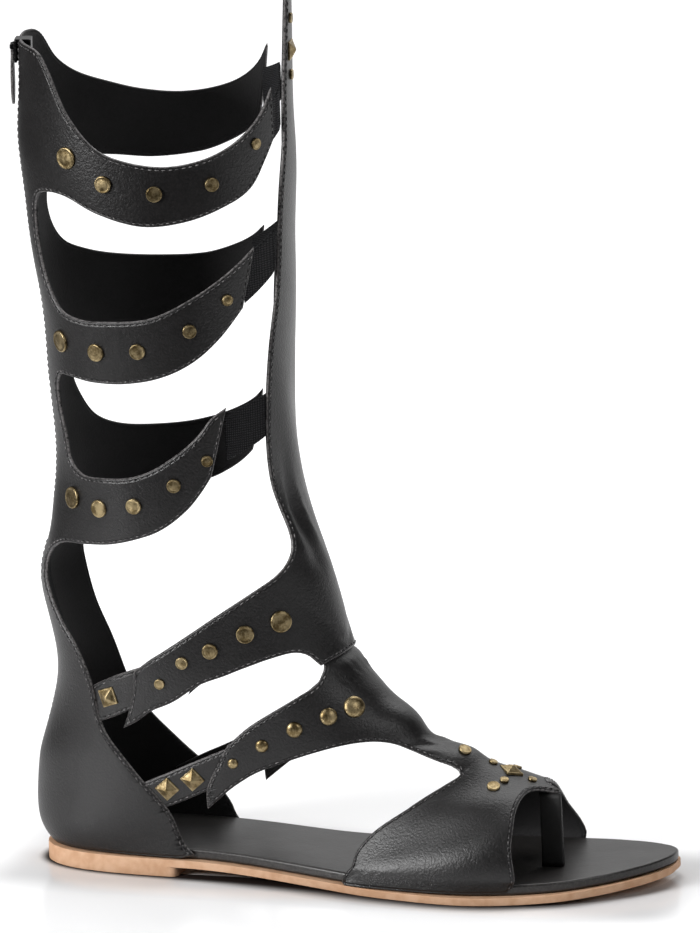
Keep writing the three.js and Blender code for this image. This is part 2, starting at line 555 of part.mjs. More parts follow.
// The slider at the top of the zip has two lugs, and the pull hangs between them.
const sliderRow = 0.94;
const sliderSeat = seat(zipLine[0].turn, sliderRow, gap);
const lugOut = 2.9;
function slab(width, height, depth, x, y, z) {
  return new THREE.BoxGeometry(width, height, depth).translate(x, y, z);
}
let slider = solid(slab(8.4, 9, 1.2, 0, 0, 0.6));
for (const sign of [-1, 1]) slider = slider.add(solid(slab(1.2, 3, lugOut, sign * 1.9, 2, lugOut / 2)));
addNode("zip_slider", geometryOf(slider).applyMatrix4(sliderSeat), black);

const leaf = new THREE.Shape();
leaf.moveTo(-1, 0.6);
leaf.lineTo(-1, -4);
leaf.quadraticCurveTo(-pullWidth / 2, -8, -pullWidth / 2, -0.62 * pullLength);
leaf.quadraticCurveTo(-pullWidth / 2, -0.85 * pullLength, 0, -pullLength);
leaf.quadraticCurveTo(pullWidth / 2, -0.85 * pullLength, pullWidth / 2, -0.62 * pullLength);
leaf.quadraticCurveTo(pullWidth / 2, -8, 1, -4);
leaf.lineTo(1, 0.6);
leaf.closePath();
const pull = new THREE.ExtrudeGeometry(leaf, { depth: pullThick, bevelEnabled: false, curveSegments: 5 });
pull.translate(0, 2, lugOut - 0.2 - pullThick);
addNode("zip_pull", geometryOf(solid(pull)).applyMatrix4(sliderSeat), black);

export default root;
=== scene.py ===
import json
import math

import bmesh
import bpy
import numpy as np
from mathutils import Matrix, Vector, geometry, kdtree

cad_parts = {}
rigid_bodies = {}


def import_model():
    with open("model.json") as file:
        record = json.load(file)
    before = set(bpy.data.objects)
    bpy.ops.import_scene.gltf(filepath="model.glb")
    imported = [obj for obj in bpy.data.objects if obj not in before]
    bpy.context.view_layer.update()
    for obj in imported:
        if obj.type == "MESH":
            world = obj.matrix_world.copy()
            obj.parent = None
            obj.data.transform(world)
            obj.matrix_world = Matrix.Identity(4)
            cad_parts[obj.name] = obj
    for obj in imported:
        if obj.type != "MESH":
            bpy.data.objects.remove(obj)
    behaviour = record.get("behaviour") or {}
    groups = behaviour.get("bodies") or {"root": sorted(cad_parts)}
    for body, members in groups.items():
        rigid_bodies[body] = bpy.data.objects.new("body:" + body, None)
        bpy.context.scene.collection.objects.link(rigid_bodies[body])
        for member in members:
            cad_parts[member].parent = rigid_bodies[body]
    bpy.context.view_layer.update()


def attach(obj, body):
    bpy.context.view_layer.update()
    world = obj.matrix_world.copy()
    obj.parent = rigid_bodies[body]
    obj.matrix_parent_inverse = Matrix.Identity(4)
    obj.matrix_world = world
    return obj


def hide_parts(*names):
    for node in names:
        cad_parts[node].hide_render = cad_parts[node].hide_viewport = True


for thing in list(bpy.data.objects):
    bpy.data.objects.remove(thing)
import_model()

# Back panel of the upper: black leather, one piece from the collar down to the heel counter.
# Its shaft straps, three to a side, are cut from it, and its foot is lasted round the insole.
# It is cut and shaped on the last, as all the leather is, so the last and the finish stand here.
#
# Each row of the last is a section of the leg or foot in mm: the back and front points, the half
# widths to the outer and inner side, how far the section stands aside, where along it is widest,
# and how round its front and back are.
LAST_COLUMNS = ("back_x", "back_z", "front_x", "front_z", "outer", "inner", "aside", "middle",
                "front_power", "back_power")
LAST = np.array([
    (-31.5, 411.6, 77.1, 411.6, 50, 50, 0, 0.5, 2.1, 2.1),
    (-31.7, 330, 77.7, 330, 50, 50, 0, 0.5, 2.1, 2.1),
    (-31.5, 290.1, 78.0, 290.1, 50, 50, 0, 0.5, 2.1, 2.1),
    (-27.8, 253, 77.3, 253, 49, 49, 0, 0.5, 2.1, 2.1),
    (-22.8, 209, 76.1, 209, 46, 46, 0, 0.5, 2.1, 2.1),
    (-20.8, 161.6, 78.0, 161.6, 43, 43, 0, 0.5, 2.1, 2.1),
    (-29.4, 124, 89.3, 128, 40, 40, 0, 0.46, 2.1, 2.1),
    (-25.0, 76, 99.8, 93, 38, 38, 0, 0.44, 2.1, 2.2),
    (-32.5, 42, 113, 76, 36, 36, 0, 0.42, 2.1, 2.3),
    (-31.0, 14, 124.1, 67.5, 33.6, 33.6, 0, 0.4, 2.1, 2.5),
    (-12.1, -2, 133.9, 60.5, 29.6, 29.1, 0, 0.38, 2.1, 2.8),
    (25.0, -4, 145, 54, 29, 26.6, 0, 0.34, 2.1, 3.2),
    (65.0, -5, 157.1, 48, 33, 27, 0, 0.32, 2.1, 3.6),
    (105.0, -6, 170, 43.5, 40.5, 33, 0, 0.32, 2.1, 4),
    (145.0, -6, 181.9, 39.4, 43, 40, 0, 0.34, 2.1, 4),
    (185.0, -5, 200, 34, 35.3, 39, 0, 0.36, 2.1, 4),
    (204.1, -4, 212.1, 28, 30, 30, 5, 0.4, 2.4, 4),
    (213.1, -4, 219, 24, 24.5, 24.5, 7, 0.4, 2.6, 4),
    (220.6, -4, 225.5, 22, 18, 18, 9, 0.4, 2.8, 4),
    (225.5, -4, 229.1, 20.2, 12.5, 12.5, 10.5, 0.4, 3, 4),
    (228.6, -4, 231.4, 18, 6.5, 6.5, 12, 0.4, 3, 4),
])
WALL = 2.0
OUTSOLE, INSOLE_GAP, INSOLE = 3.2, 0.3, 4.2
LAST_GAP = 0.2


def last_row(row):
    """The last's measures at any row, on a smooth curve through the table."""
    row = np.clip(np.asarray(row, float), 0, len(LAST) - 1)
    i = np.minimum(np.floor(row).astype(int), len(LAST) - 2)
    u = (row - i)[..., None]
    a, b, c, d = (LAST[np.clip(i + k, 0, len(LAST) - 1)] for k in (-1, 0, 1, 2))
    values = b + 0.5 * u * (c - a + u * (2 * a - 5 * b + 4 * c - d + u * (3 * (b - c) + d - a)))
    return {name: values[..., k] for k, name in enumerate(LAST_COLUMNS)}


def on_last(turn, row):
    """Place on the last: turn is in degrees from the centre back, positive to the inner side."""
    r = last_row(row)
    angle = np.radians(turn)
    ahead, aside = -np.cos(angle), np.sin(angle)
    span = np.hypot(r["front_x"] - r["back_x"], r["front_z"] - r["back_z"])
    reach = np.where(ahead > 0, 1 - r["middle"], r["middle"]) * span
    power = 2 / np.where(ahead > 0, r["front_power"], r["back_power"])
    along = (r["middle"] * span + np.sign(ahead) * np.abs(ahead) ** power * reach) / span
    half = np.where(aside > 0, r["inner"], r["outer"])
    y = r["aside"] + np.sign(aside) * np.abs(aside) ** power * half
    x = r["back_x"] + (r["front_x"] - r["back_x"]) * along
    z = r["back_z"] + (r["front_z"] - r["back_z"]) * along
    return np.stack([x, y, z], -1)


def last_frame(turn, row):
    """Place, step of a degree of turn, step of a row and outward normal."""
    turn, row = np.asarray(turn, float), np.asarray(row, float)
    place = on_last(turn, row)
    by_turn = (on_last(turn + 0.6, row) - on_last(turn - 0.6, row)) / 1.2
    by_row = (on_last(turn, row + 0.02) - on_last(turn, row - 0.02)) / 0.04
    normal = np.cross(by_row, by_turn)
    normal /= np.maximum(np.linalg.norm(normal, axis=-1, keepdims=True), 1e-9)
    r = last_row(row)
    middle = np.stack([
        r["back_x"] + (r["front_x"] - r["back_x"]) * r["middle"],
        r["aside"],
        r["back_z"] + (r["front_z"] - r["back_z"]) * r["middle"],
    ], -1)
    flip = np.sign(((place - middle) * normal).sum(-1, keepdims=True))
    return place, by_turn, by_row, normal * flip


BREAST, BALL, SPRING, TOE = 33.0, 118.8, 150.0, 230.0
HEEL_LIFT, TOE_LIFT = 4.0, 4.7


def ground(x):
    """Height of the outsole's underside: over the heel block, down to the ball, up again at the toe."""
    fall = np.clip((np.asarray(x, float) - BREAST) / (BALL - BREAST), 0, 1)
    rise = np.maximum(0, (np.asarray(x, float) - SPRING) / (TOE - SPRING))
    return HEEL_LIFT * (0.5 + 0.5 * np.cos(np.pi * fall)) + TOE_LIFT * rise**2


def sole_level(x):
    return ground(x) + OUTSOLE + LAST_GAP


def sole_line(side, first, last, count):
    """Turns and rows along which the leather meets the outsole, from one row to another."""
    found = []
    for row in np.linspace(first, last, count):
        low, high = 0.0, 100.0
        for _ in range(30):
            middle = (low + high) / 2
            p = on_last(middle, row)
            if p[2] < sole_level(p[0]):
                low = middle
            else:
                high = middle
        found.append((side * high, row))
    return found


def first_sole_row():
    """The row whose back point stands just where the leather meets the outsole."""
    low, high = 8.0, 10.0
    for _ in range(30):
        middle = (low + high) / 2
        p = on_last(0.0, middle)
        low, high = (middle, high) if p[2] > sole_level(p[0]) else (low, middle)
    return high


def length_along(places):
    """Length in mm from the first place to each."""
    return np.concatenate([[0], np.cumsum(np.linalg.norm(np.diff(places, axis=0), axis=1))])


EVEN = np.array([0.9, 40.0])


def smooth_run(points, step=2.0):
    """Even points about step mm apart along a smooth curve through turns and rows."""
    p = np.array(points, float)
    if len(p) == 2:
        dense = p[0] + (p[1] - p[0]) * np.linspace(0, 1, 80)[:, None]
    else:
        padded = np.vstack([2 * p[0] - p[1], p, 2 * p[-1] - p[-2]])
        scaled = padded * EVEN
        steps = np.sqrt(np.linalg.norm(np.diff(scaled, axis=0), axis=1)) + 1e-6
        knots = np.concatenate([[0], np.cumsum(steps)])
        dense = []
        for i in range(1, len(padded) - 2):
            t = np.linspace(knots[i], knots[i + 1], 24, endpoint=i == len(padded) - 3)[:, None]
            t0, t1, t2, t3 = knots[i - 1 : i + 3]
            p0, p1, p2, p3 = padded[i - 1 : i + 3]
            a1 = (t1 - t) / (t1 - t0) * p0 + (t - t0) / (t1 - t0) * p1
            a2 = (t2 - t) / (t2 - t1) * p1 + (t - t1) / (t2 - t1) * p2
            a3 = (t3 - t) / (t3 - t2) * p2 + (t - t2) / (t3 - t2) * p3
            b1 = (t2 - t) / (t2 - t0) * a1 + (t - t0) / (t2 - t0) * a2
            b2 = (t3 - t) / (t3 - t1) * a2 + (t - t1) / (t3 - t1) * a3
            dense.append((t2 - t) / (t2 - t1) * b1 + (t - t1) / (t2 - t1) * b2)
        dense = np.vstack(dense)
    place = on_last(dense[:, 0], dense[:, 1])
    length = length_along(place)
    count = max(2, int(round(length[-1] / step)) + 1)
    marks = np.linspace(0, length[-1], count)
    return np.stack([np.interp(marks, length, dense[:, k]) for k in (0, 1)], -1)


def inward(points, closed=True):
    """For points along an edge, the turn and row step of one mm square to it within the skin."""
    before = np.roll(points, 1, 0) if closed else np.vstack([points[:1], points[:-1]])
    after = np.roll(points, -1, 0) if closed else np.vstack([points[1:], points[-1:]])
    _, by_turn, by_row, normal = last_frame(points[:, 0], points[:, 1])
    step = after - before
    along = by_turn * step[:, :1] + by_row * step[:, 1:]
    along /= np.maximum(np.linalg.norm(along, axis=1, keepdims=True), 1e-9)
    square = np.cross(normal, along)
    steps = []
    for t, r, s in zip(by_turn, by_row, square):
        steps.append(np.linalg.lstsq(np.stack([t, r], 1), s, rcond=None)[0])
    return np.array(steps)


def distance_to(loop_mm, points_mm):
    """Distance in mm from each point to a closed line."""
    tree = kdtree.KDTree(len(loop_mm))
    for i, p in enumerate(loop_mm):
        tree.insert(p, i)
    tree.balance()
    found = np.empty(len(points_mm))
    count = len(loop_mm)
    for k, p in enumerate(points_mm):
        _, i, _ = tree.find(p)
        best = 1e9
        for j in (i - 1, i):
            a, b = loop_mm[j % count], loop_mm[(j + 1) % count]
            ab = b - a
            u = min(1.0, max(0.0, float((p - a) @ ab) / max(float(ab @ ab), 1e-12)))
            best = min(best, float(np.linalg.norm(p - a - ab * u)))
        found[k] = best
    return found


def within(loop, points):
    """Which points lie inside a closed flat outline."""
    x, y = points[:, :1], points[:, 1:]
    ax, ay = loop[:, 0], loop[:, 1]
    bx, by = np.roll(ax, -1), np.roll(ay, -1)
    cross = (ay > y) != (by > y)
    slope = np.where(cross, (bx - ax) / np.where(by == ay, 1, by - ay), 0)
    return (cross & (x < ax + (y - ay) * slope)).sum(1) % 2 == 1


class Wire:
    """One output of a node tree: sums and products of wires and numbers make Math nodes."""

    def __init__(self, tree, out):
        self.tree, self.out = tree, out

    def node(self, kind, settings=None, output=0, **values):
        """Any node of the same tree: its type, its settings, then its socket values by name."""
        node = self.tree.nodes.new(kind)
        for key, value in (settings or {}).items():
            setattr(node, key, value)
        for key, value in values.items():
            numbered = key[0] == "i" and key[1:].isdigit()
            socket = node.inputs[int(key[1:]) if numbered else key.replace("_", " ")]
            if isinstance(value, Wire):
                self.tree.links.new(value.out, socket)
            else:
                socket.default_value = value
        return Wire(self.tree, node.outputs[output])

    def math(self, operation, a, b):
        return self.node("ShaderNodeMath", {"operation": operation}, i0=a, i1=b)

    def __add__(self, other):
        return self.math("ADD", self, other)

    def __radd__(self, other):
        return self.math("ADD", other, self)

    def __sub__(self, other):
        return self.math("SUBTRACT", self, other)

    def __rsub__(self, other):
        return self.math("SUBTRACT", other, self)

    def __mul__(self, other):
        return self.math("MULTIPLY", self, other)

    def __rmul__(self, other):
        return self.math("MULTIPLY", other, self)

    def ramp(self, low, high):
        """0 below low and 1 above high, smooth between."""
        settings = {"interpolation_type": "SMOOTHSTEP"}
        return self.node("ShaderNodeMapRange", settings, i0=self, i1=low, i2=high, i3=0.0, i4=1.0)

    def mix(self, a, b):
        """Colour a where this is 0 and colour b where it is 1."""
        node = self.tree.nodes.new("ShaderNodeMix")
        node.data_type = "RGBA"
        self.tree.links.new(self.out, node.inputs[0])
        for socket, value in ((node.inputs[6], a), (node.inputs[7], b)):
            if isinstance(value, Wire):
                self.tree.links.new(value.out, socket)
            else:
                socket.default_value = (*value, 1)
        return Wire(self.tree, node.outputs[2])


def finish(name, **constants):
    """A material with its shader, and the wire of its object coordinates."""
    material = bpy.data.materials.new(name)
    material.use_nodes = True
    tree = material.node_tree
    shader = tree.nodes["Principled BSDF"]
    for key, value in constants.items():
        shader.inputs[key.replace("_", " ")].default_value = value
    coordinates = tree.nodes.new("ShaderNodeTexCoord")
    return material, shader, Wire(tree, coordinates.outputs["Object"])


def drive(shader, **wires):
    """Links wires to the shader's sockets of the same names."""
    for key, wire in wires.items():
        wire.tree.links.new(wire.out, shader.inputs[key.replace("_", " ")])


SEAM_INSET = 1.25


def black_leather(name, colour, sheen, grain, cut=True):
    """Leather; with cut, its edge wear with a painted highlight along the cut edge, and its stitched groove,
    follow the distance from the cut edge.
    """
    material, shader, where = finish(name, Specular_IOR_Level=0.5)
    pores = where.node("ShaderNodeTexVoronoi", Vector=where, Scale=1700.0)
    fine = where.node("ShaderNodeTexNoise", Vector=where, Scale=1050.0, Detail=3.0)
    broad = where.node("ShaderNodeTexNoise", Vector=where, Scale=60.0, Detail=3.0)
    bump_out = where.node("ShaderNodeBump", Strength=grain, Distance=0.0002, Height=pores * 0.2 + fine)
    bump_out = where.node("ShaderNodeBump", Strength=0.14, Distance=0.0015, Height=broad, Normal=bump_out)
    rough = sheen + (fine - 0.5) * 0.12 + (broad - 0.5) * 0.1
    base = fine.ramp(0.35, 0.75).mix(colour, tuple(c * 2.2 for c in colour))
    if cut:
        edge = where.node("ShaderNodeAttribute", {"attribute_name": "edge"}, output=2)
        lining = where.node("ShaderNodeAttribute", {"attribute_name": "lining"}, output=2)
        # Edge wear and painted highlight: within half a mm of the cut edge the colour turns a lighter grey,
        # partly wear and partly a painted glint.
        worn_edge_and_glint = (1 - edge.ramp(0.1, 0.5)) * fine.ramp(0.3, 0.6)
        seam = edge - SEAM_INSET
        channel = seam.math("ABSOLUTE", seam, 0.0).ramp(0.1, 0.6)
        bump_out = where.node("ShaderNodeBump", Strength=0.5, Distance=0.0005, Height=channel,
                              Normal=bump_out)
        base = lining.mix(worn_edge_and_glint.mix(base, (0.16, 0.15, 0.15)), (0.006, 0.0055, 0.006))
        rough = rough + lining * 0.4
    drive(shader, Base_Color=base, Roughness=rough, Normal=bump_out)
    return material


leather_finish = black_leather("black_leather", (0.005, 0.0045, 0.0046), 0.41, 0.85)


def add_object(name, data):
    obj = bpy.data.objects.new(name, data)
    bpy.context.scene.collection.objects.link(obj)
    return obj


def add_mesh(name, points, faces, material):
    """A smooth mesh object in one finish from points in mm."""
    mesh = bpy.data.meshes.new(name)
    mesh.from_pydata((np.array(points) / 1000).tolist(), [], faces)
    mesh.shade_smooth()
    mesh.materials.append(material)
    return add_object(name, mesh)


def mark_points(obj, label, values):
    """A number for each point, which the finish reads as an attribute."""
    layer = obj.data.attributes.new(label, "FLOAT", "POINT")
    layer.data.foreach_set("value", values.astype(np.float32))


skins = {}
LATTICE_TURNS, LATTICE_ROWS, LATTICE_CLEAR = 3.2, 0.075, 3.1
RIM_DEPTHS = (0.25, 0.65, 1.25, 2.2)


def leather(name, runs, thick=WALL, lift=None, folds=None, plain=(), material=leather_finish):
    """A closed, round-edged piece of leather inside an outline of smooth runs of turns and rows.
    lift and folds give its height over the last in mm; runs numbered in plain carry no stitches."""
    sampled = [smooth_run(run)[:-1] for run in runs]
    outline = np.vstack(sampled)
    sewn = np.concatenate([np.full(len(run), i not in plain) for i, run in enumerate(sampled)])
    loop_mm = on_last(outline[:, 0], outline[:, 1])
    square = inward(outline)
    if np.mean(within(outline, outline + square * 0.4)) < 0.5:
        square = -square

    def height(turn, row):
        level = -WALL / 2 + np.zeros(len(turn))
        if lift is not None:
            level = level + lift(turn, row)
        if folds is not None:
            level = level + folds(turn, row)
        return level

    low, high = outline.min(0), outline.max(0)
    rows = np.arange(low[1], high[1], LATTICE_ROWS)
    turns = np.arange(low[0], high[0], LATTICE_TURNS)
    lattice = np.array([(t + (LATTICE_TURNS / 2 if j % 2 else 0), r, LATTICE_CLEAR)
                        for j, r in enumerate(rows) for t in turns])
    candidates = [lattice[within(outline, lattice[:, :2])]]
    for depth in RIM_DEPTHS:
        ring = outline + square * depth
        candidates.append(np.column_stack([ring, np.full(len(ring), depth * 0.93)]))
    candidates = np.vstack(candidates)
    away = distance_to(loop_mm, on_last(candidates[:, 0], candidates[:, 1]))
    candidates = candidates[away >= candidates[:, 2]][:, :2]
    flat = [Vector(p) for p in np.vstack([outline, candidates]) * EVEN]
    count = len(outline)
    edges = [(i, (i + 1) % count) for i in range(count)]
    verts, _, faces, _, _, _ = geometry.delaunay_2d_cdt(flat, edges, [], 1, 1e-4)
    at = np.array([tuple(v) for v in verts]) / EVEN
    faces = np.array([f for f in faces if len(f) == 3])
    used = np.unique(faces)
    renumber = -np.ones(len(at), int)
    renumber[used] = np.arange(len(used))
    at, faces = at[used], renumber[faces]
    place, _, _, normal = last_frame(at[:, 0], at[:, 1])
    depth = distance_to(loop_mm, place)
    round_share = np.clip(depth / (0.55 * thick), 0, 1)
    swell = np.sqrt(np.clip(1 - (1 - round_share) ** 2, 0, 1)) * thick / 2
    rim = depth < 1e-3
    swell[rim] = 0
    level = height(at[:, 0], at[:, 1])
    outer = place + normal * (level + swell)[:, None]
    inner = place + normal * (level - swell)[:, None]
    n = len(at)
    back_of = np.where(rim, np.arange(n), -1)
    back_of[~rim] = n + np.arange((~rim).sum())
    a, b, c = (outer[faces[:, k]] for k in range(3))
    facing = np.einsum("ij,ij->i", np.cross(b - a, c - a), normal[faces[:, 0]])
    faces = np.where((facing < 0)[:, None], faces[:, ::-1], faces)
    both = np.vstack([faces, back_of[faces[:, ::-1]]]).tolist()
    obj = add_mesh(name, np.vstack([outer, inner[~rim]]), both, material)
    mark_points(obj, "edge", np.concatenate([depth, depth[~rim]]))
    mark_points(obj, "lining", np.repeat([0.0, 1.0], [n, (~rim).sum()]))
    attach(obj, "sandal")
    skins[name] = {"loop": outline, "square": square, "sewn": sewn, "height": height, "thick": thick}
    return obj


def flip(run):
    """The same run told from the outer side: turns are counted backwards from the centre back."""
    return [(-t, r) for t, r in run]


def bump(value, centre, width):
    return np.exp(-(((value - centre) / width) ** 2))


zip_middle = [(-14, 0.6), (-14, 2.5), (-13, 4.5), (-5, 6.2), (0, 8.3)]


def zip_turn(row, aside):
    """Turn of a place that many mm beside the zip's middle."""
    middle = np.interp(row, [r for _, r in zip_middle], [t for t, _ in zip_middle])
    r = last_row(row)
    span = np.hypot(r["front_x"] - r["back_x"], r["front_z"] - r["back_z"])
    round_mm = ((r["outer"] + r["inner"]) / 2 + r["middle"] * span) / 2
    return float(middle + np.degrees(aside / round_mm))


slot_rows = (0.88, 1.6, 2.5, 3.5, 4.5, 5.3, 6.2, 7.3, 8.3)
SLOT_HALF = 2.5
slot_outer = [(zip_turn(r, -SLOT_HALF), r) for r in slot_rows]
slot_inner = [(zip_turn(r, SLOT_HALF), r) for r in slot_rows]
outer_collar = [(-slot_outer[0][0], 0.87), (26, 0.865), (44, 0.865), (50, 0.89), (58, 1.0), (68, 1.29),
                (84, 1.66), (104, 1.8), (122, 1.755), (141, 1.575), (157, 1.33), (166, 1.11)]
outer_strap_1 = [(167, 1.63), (161, 1.83), (150, 2.12), (134, 2.3), (117, 2.43), (98, 2.475), (80, 2.357),
                 (64, 2.205), (51, 2.2), (43, 2.27), (38.5, 2.45), (38, 2.68), (40, 2.95), (45, 3.25),
                 (52, 3.43), (64, 3.49), (80, 3.48), (98, 3.425), (116, 3.26), (130, 3.1), (141, 2.95),
                 (151, 2.79)]
outer_strap_2 = [(144, 3.385), (137.5, 3.52), (131, 3.64), (118, 3.823), (103, 3.96), (86, 4.04),
                 (68, 4.055), (52, 4.04), (42, 4.06), (36.5, 4.17), (36, 4.34), (40, 4.58), (42, 4.76),
                 (52, 4.88), (68, 4.88), (86, 4.83), (102, 4.67), (116, 4.48), (124, 4.33), (132.5, 4.25)]
outer_strap_3 = [(121.5, 4.835), (114.3, 5.016), (107.8, 5.17), (92.6, 5.46), (76.5, 5.605), (61, 5.65),
                 (46, 5.68), (36, 5.79), (29, 5.92), (28, 6.06), (33, 6.26), (42, 6.47), (50, 6.62),
                 (57, 6.88), (66, 7.46), (77, 8.0), (84, 8.47), (88, 8.95), (88.5, 9.5), (85, 10.09),
                 (80, 10.5), (77.5, 10.66)]
inner_collar = [(slot_inner[0][0], 0.87), (0, 0.865), (12.5, 0.91), (23.5, 1.09), (37.5, 1.265), (51, 1.385),
                (68, 1.5), (86, 1.53), (105, 1.4), (121.5, 1.165), (129, 1.0)]
inner_strap_1 = [(122, 1.8), (116, 1.92), (104.5, 2.085), (90, 2.237), (72, 2.3), (52, 2.25), (34, 2.21),
                 (20, 2.27), (13, 2.42), (10, 2.64), (13, 2.89), (20, 3.075), (34.5, 3.215), (52, 3.3),
                 (72, 3.333), (90, 3.305), (104.4, 3.205), (115, 3.09), (122.6, 2.96)]
inner_strap_2 = [(115, 3.62), (100, 3.76), (84, 3.9), (66, 3.95), (46, 3.93), (30, 3.93), (19, 3.98),
                 (13, 4.1), (13.3, 4.3), (20, 4.5), (30, 4.66), (46, 4.775), (66, 4.8), (84, 4.763),
                 (100, 4.66), (113.8, 4.53), (120, 4.44)]
inner_strap_3 = [(111, 5.006), (106.3, 5.1), (97.7, 5.25), (88.5, 5.38), (76, 5.43), (64, 5.48),
                 (49, 5.56), (40, 5.62), (34.5, 5.72), (32.5, 5.86), (32.5, 6.0), (34.3, 6.2), (37, 6.53),
                 (43, 6.83), (52.5, 7.3), (68.5, 7.97), (79.2, 8.48), (86.2, 9.01), (87.5, 9.5),
                 (86, 10.17), (82, 10.5), (78, 10.74)]
heel_edge = (
    sole_line(-1, 10.66, first_sole_row() + 0.02, 24)
    + [(0.0, first_sole_row())]
    + sole_line(1, first_sole_row() + 0.02, 10.74, 24)
)


def back_folds(turn, row):
    side = np.abs(turn)
    collar_roll = -0.8 * bump(row, 0.9, 0.12) * bump(side, 48, 14)
    neck = -2.4 * bump(row, 5.62, 0.34) - 2.6 * bump(row, 6.72, 0.36) + 0.5 * bump(row, 6.18, 0.16)
    tuck = -1.1 * bump(row, 7.7, 0.45)
    soft = 0.35 * np.sin(row * 5.1 + turn * 0.035) * bump(side, 30, 40)
    heel_dents = -0.5 * bump(row, 8.3, 0.35) * bump(side, 55, 20)
    strap_wave = 0.4 * np.sin(turn * 0.11 + row * 2.0) * (row < 5.8)
    return collar_roll + (neck + tuck) * bump(side, 8, 30) + soft + heel_dents + strap_wave


back_panel = leather(
    "back_panel",
    [
        flip(outer_collar),
        flip([outer_collar[-1], outer_strap_1[0]]),
        flip(outer_strap_1),
        flip([outer_strap_1[-1], outer_strap_2[0]]),
        flip(outer_strap_2),
        flip([outer_strap_2[-1], outer_strap_3[0]]),
        flip(outer_strap_3),
        [(-77.5, 10.66)] + heel_edge[1:-1] + [(78, 10.74)],
        inner_strap_3[::-1],
        [inner_strap_3[0], inner_strap_2[-1]],
        inner_strap_2[::-1],
        [inner_strap_2[0], inner_strap_1[-1]],
        inner_strap_1[::-1],
        [inner_strap_1[0], inner_collar[-1]],
        inner_collar[::-1],
        slot_inner,
        [slot_inner[-1], slot_outer[-1]],
        slot_outer[::-1],
    ],
    folds=back_folds,
    plain=(7,),
)
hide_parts("upper")

# Shin panel: a second piece of the same leather from the top of the shin to a seam over the instep.
# It carries the upper pair of ankle straps, whose cut tails lie on the heel straps.
def front(run):
    """Outer-side turns told past the front, so that a piece can cross the shin."""
    return [(360 - t, r) for t, r in run]


outer_shin = [(188, 0.5), (185.5, 0.59), (183, 0.72), (180, 1.0), (177.5, 1.35), (176, 1.65), (172.6, 2.1),
              (170.7, 2.6), (168.5, 3.0), (166.3, 3.4), (162.4, 3.8), (158.5, 4.2), (156.7, 4.6),
              (156.9, 4.95), (159, 5.24), (159.7, 5.5), (157, 5.72), (151, 5.88), (142.8, 6.02),
              (130.7, 6.165), (118, 6.325), (106, 6.49), (92, 6.7), (82, 6.865)]
outer_ankle = [(78, 7.6), (83, 7.52), (88, 7.385), (94, 7.29), (103, 7.09), (112, 7.014), (120, 6.945),
               (130, 6.886), (141, 6.864), (147, 6.925), (151.5, 7.115)]
inner_shin = [(172, 0.5), (165, 0.5), (157, 0.535), (151.5, 0.68), (145, 1.0), (142, 1.5), (139.8, 2.0),
              (136.5, 2.6), (132.5, 3.2), (130, 3.8), (131, 4.3), (136, 4.65), (144, 4.85), (149, 5.2),
              (151, 5.6), (147, 5.9), (138, 6.14), (127, 6.38), (116, 6.62), (104, 6.84), (94, 6.99),
              (86, 7.1)]
inner_ankle = [(81.5, 7.83), (86.3, 7.67), (92.5, 7.59), (100.6, 7.48), (109, 7.37), (118.5, 7.26),
               (127, 7.09), (137, 7.0), (144, 6.99), (150, 7.14)]


def shin_folds(turn, row):
    across = turn - 180
    soft = 0.9 * bump(row, 4.75, 0.5) * np.cos((across + (row - 4.7) * 16) * 0.16) * bump(across, 4, 26)
    outer_line = 15.0 + (row - 4.86) * 2.0
    inner_line = 6.0 - (row - 4.98) * 9.0
    valley = -1.7 * bump(across, (outer_line + inner_line) / 2, 4.5) * bump(row, 5.4, 0.5)
    ridge = 0.9 * (bump(across, outer_line, 2.2) + bump(across, inner_line, 2.6)) * bump(row, 5.35, 0.5)
    dip = -0.8 * bump(across, 8, 12) * bump(row, 5.95, 0.12)
    low = -0.6 * bump(row, 6.95 - 0.02 * np.abs(across), 0.05) * bump(across, 0, 24)
    calm = 0.3 * np.sin(row * 4.2 + across * 0.05)
    return soft + valley + ridge + dip + low + calm


def shin_lift(turn, row):
    return 0.15 + 1.4 * (1 / (1 + np.exp(-(np.abs(turn - 180) - 74) / 4)))


leather(
    "shin_panel",
    [
        front(outer_shin),
        front([outer_shin[-1], outer_ankle[0]]),
        front(outer_ankle),
        [(208.5, 7.115), (202, 7.075), (193, 7.045), (180, 7.03), (164, 7.07), (150, 7.14)],
        inner_ankle[::-1],
        [inner_ankle[0], inner_shin[-1]],
        inner_shin[::-1],
    ],
    lift=shin_lift,
    folds=shin_folds,
)

# Instep and vamp: the third piece, with the lower ankle straps, the tongue over the toes and the
# two wings that are lasted under the insole. Its top edge is tucked under the shin panel.
outer_tuck = [(151.5, 7.2), (160, 6.92), (180, 6.86)]
inner_tuck = [(150, 7.22), (160, 6.92), (180, 6.86)]
outer_instep = [(151.5, 7.2), (144, 7.425), (136, 7.55), (124, 7.775), (115, 7.99), (108, 8.26)]
outer_tail = [(103, 9.34), (106, 9.25), (112, 9.13), (121.8, 9.11), (130.8, 9.14), (138.6, 9.23),
              (145.7, 9.425), (151.8, 9.83), (154.5, 10.4), (156.2, 11.0), (157.8, 11.45), (156.3, 11.73),
              (150.4, 11.8), (137.5, 11.84), (123, 11.89), (111.8, 11.96), (100, 12.16), (90, 12.45),
              (83, 12.58)]
inner_instep = [(150, 7.22), (144, 7.44), (137, 7.6), (126.5, 7.83), (117.5, 8.12), (108, 8.43)]
inner_tail = [(104, 9.69), (107, 9.62), (112, 9.45), (122, 9.3), (131, 9.26), (139, 9.3), (146, 9.48),
              (151.5, 9.9), (154.5, 10.4), (156.5, 11.0), (158, 11.45), (157, 11.78), (150, 11.93),
              (135.8, 12.02), (120.3, 12.09), (109.5, 12.13), (100, 12.2), (90, 12.45), (83, 12.58)]
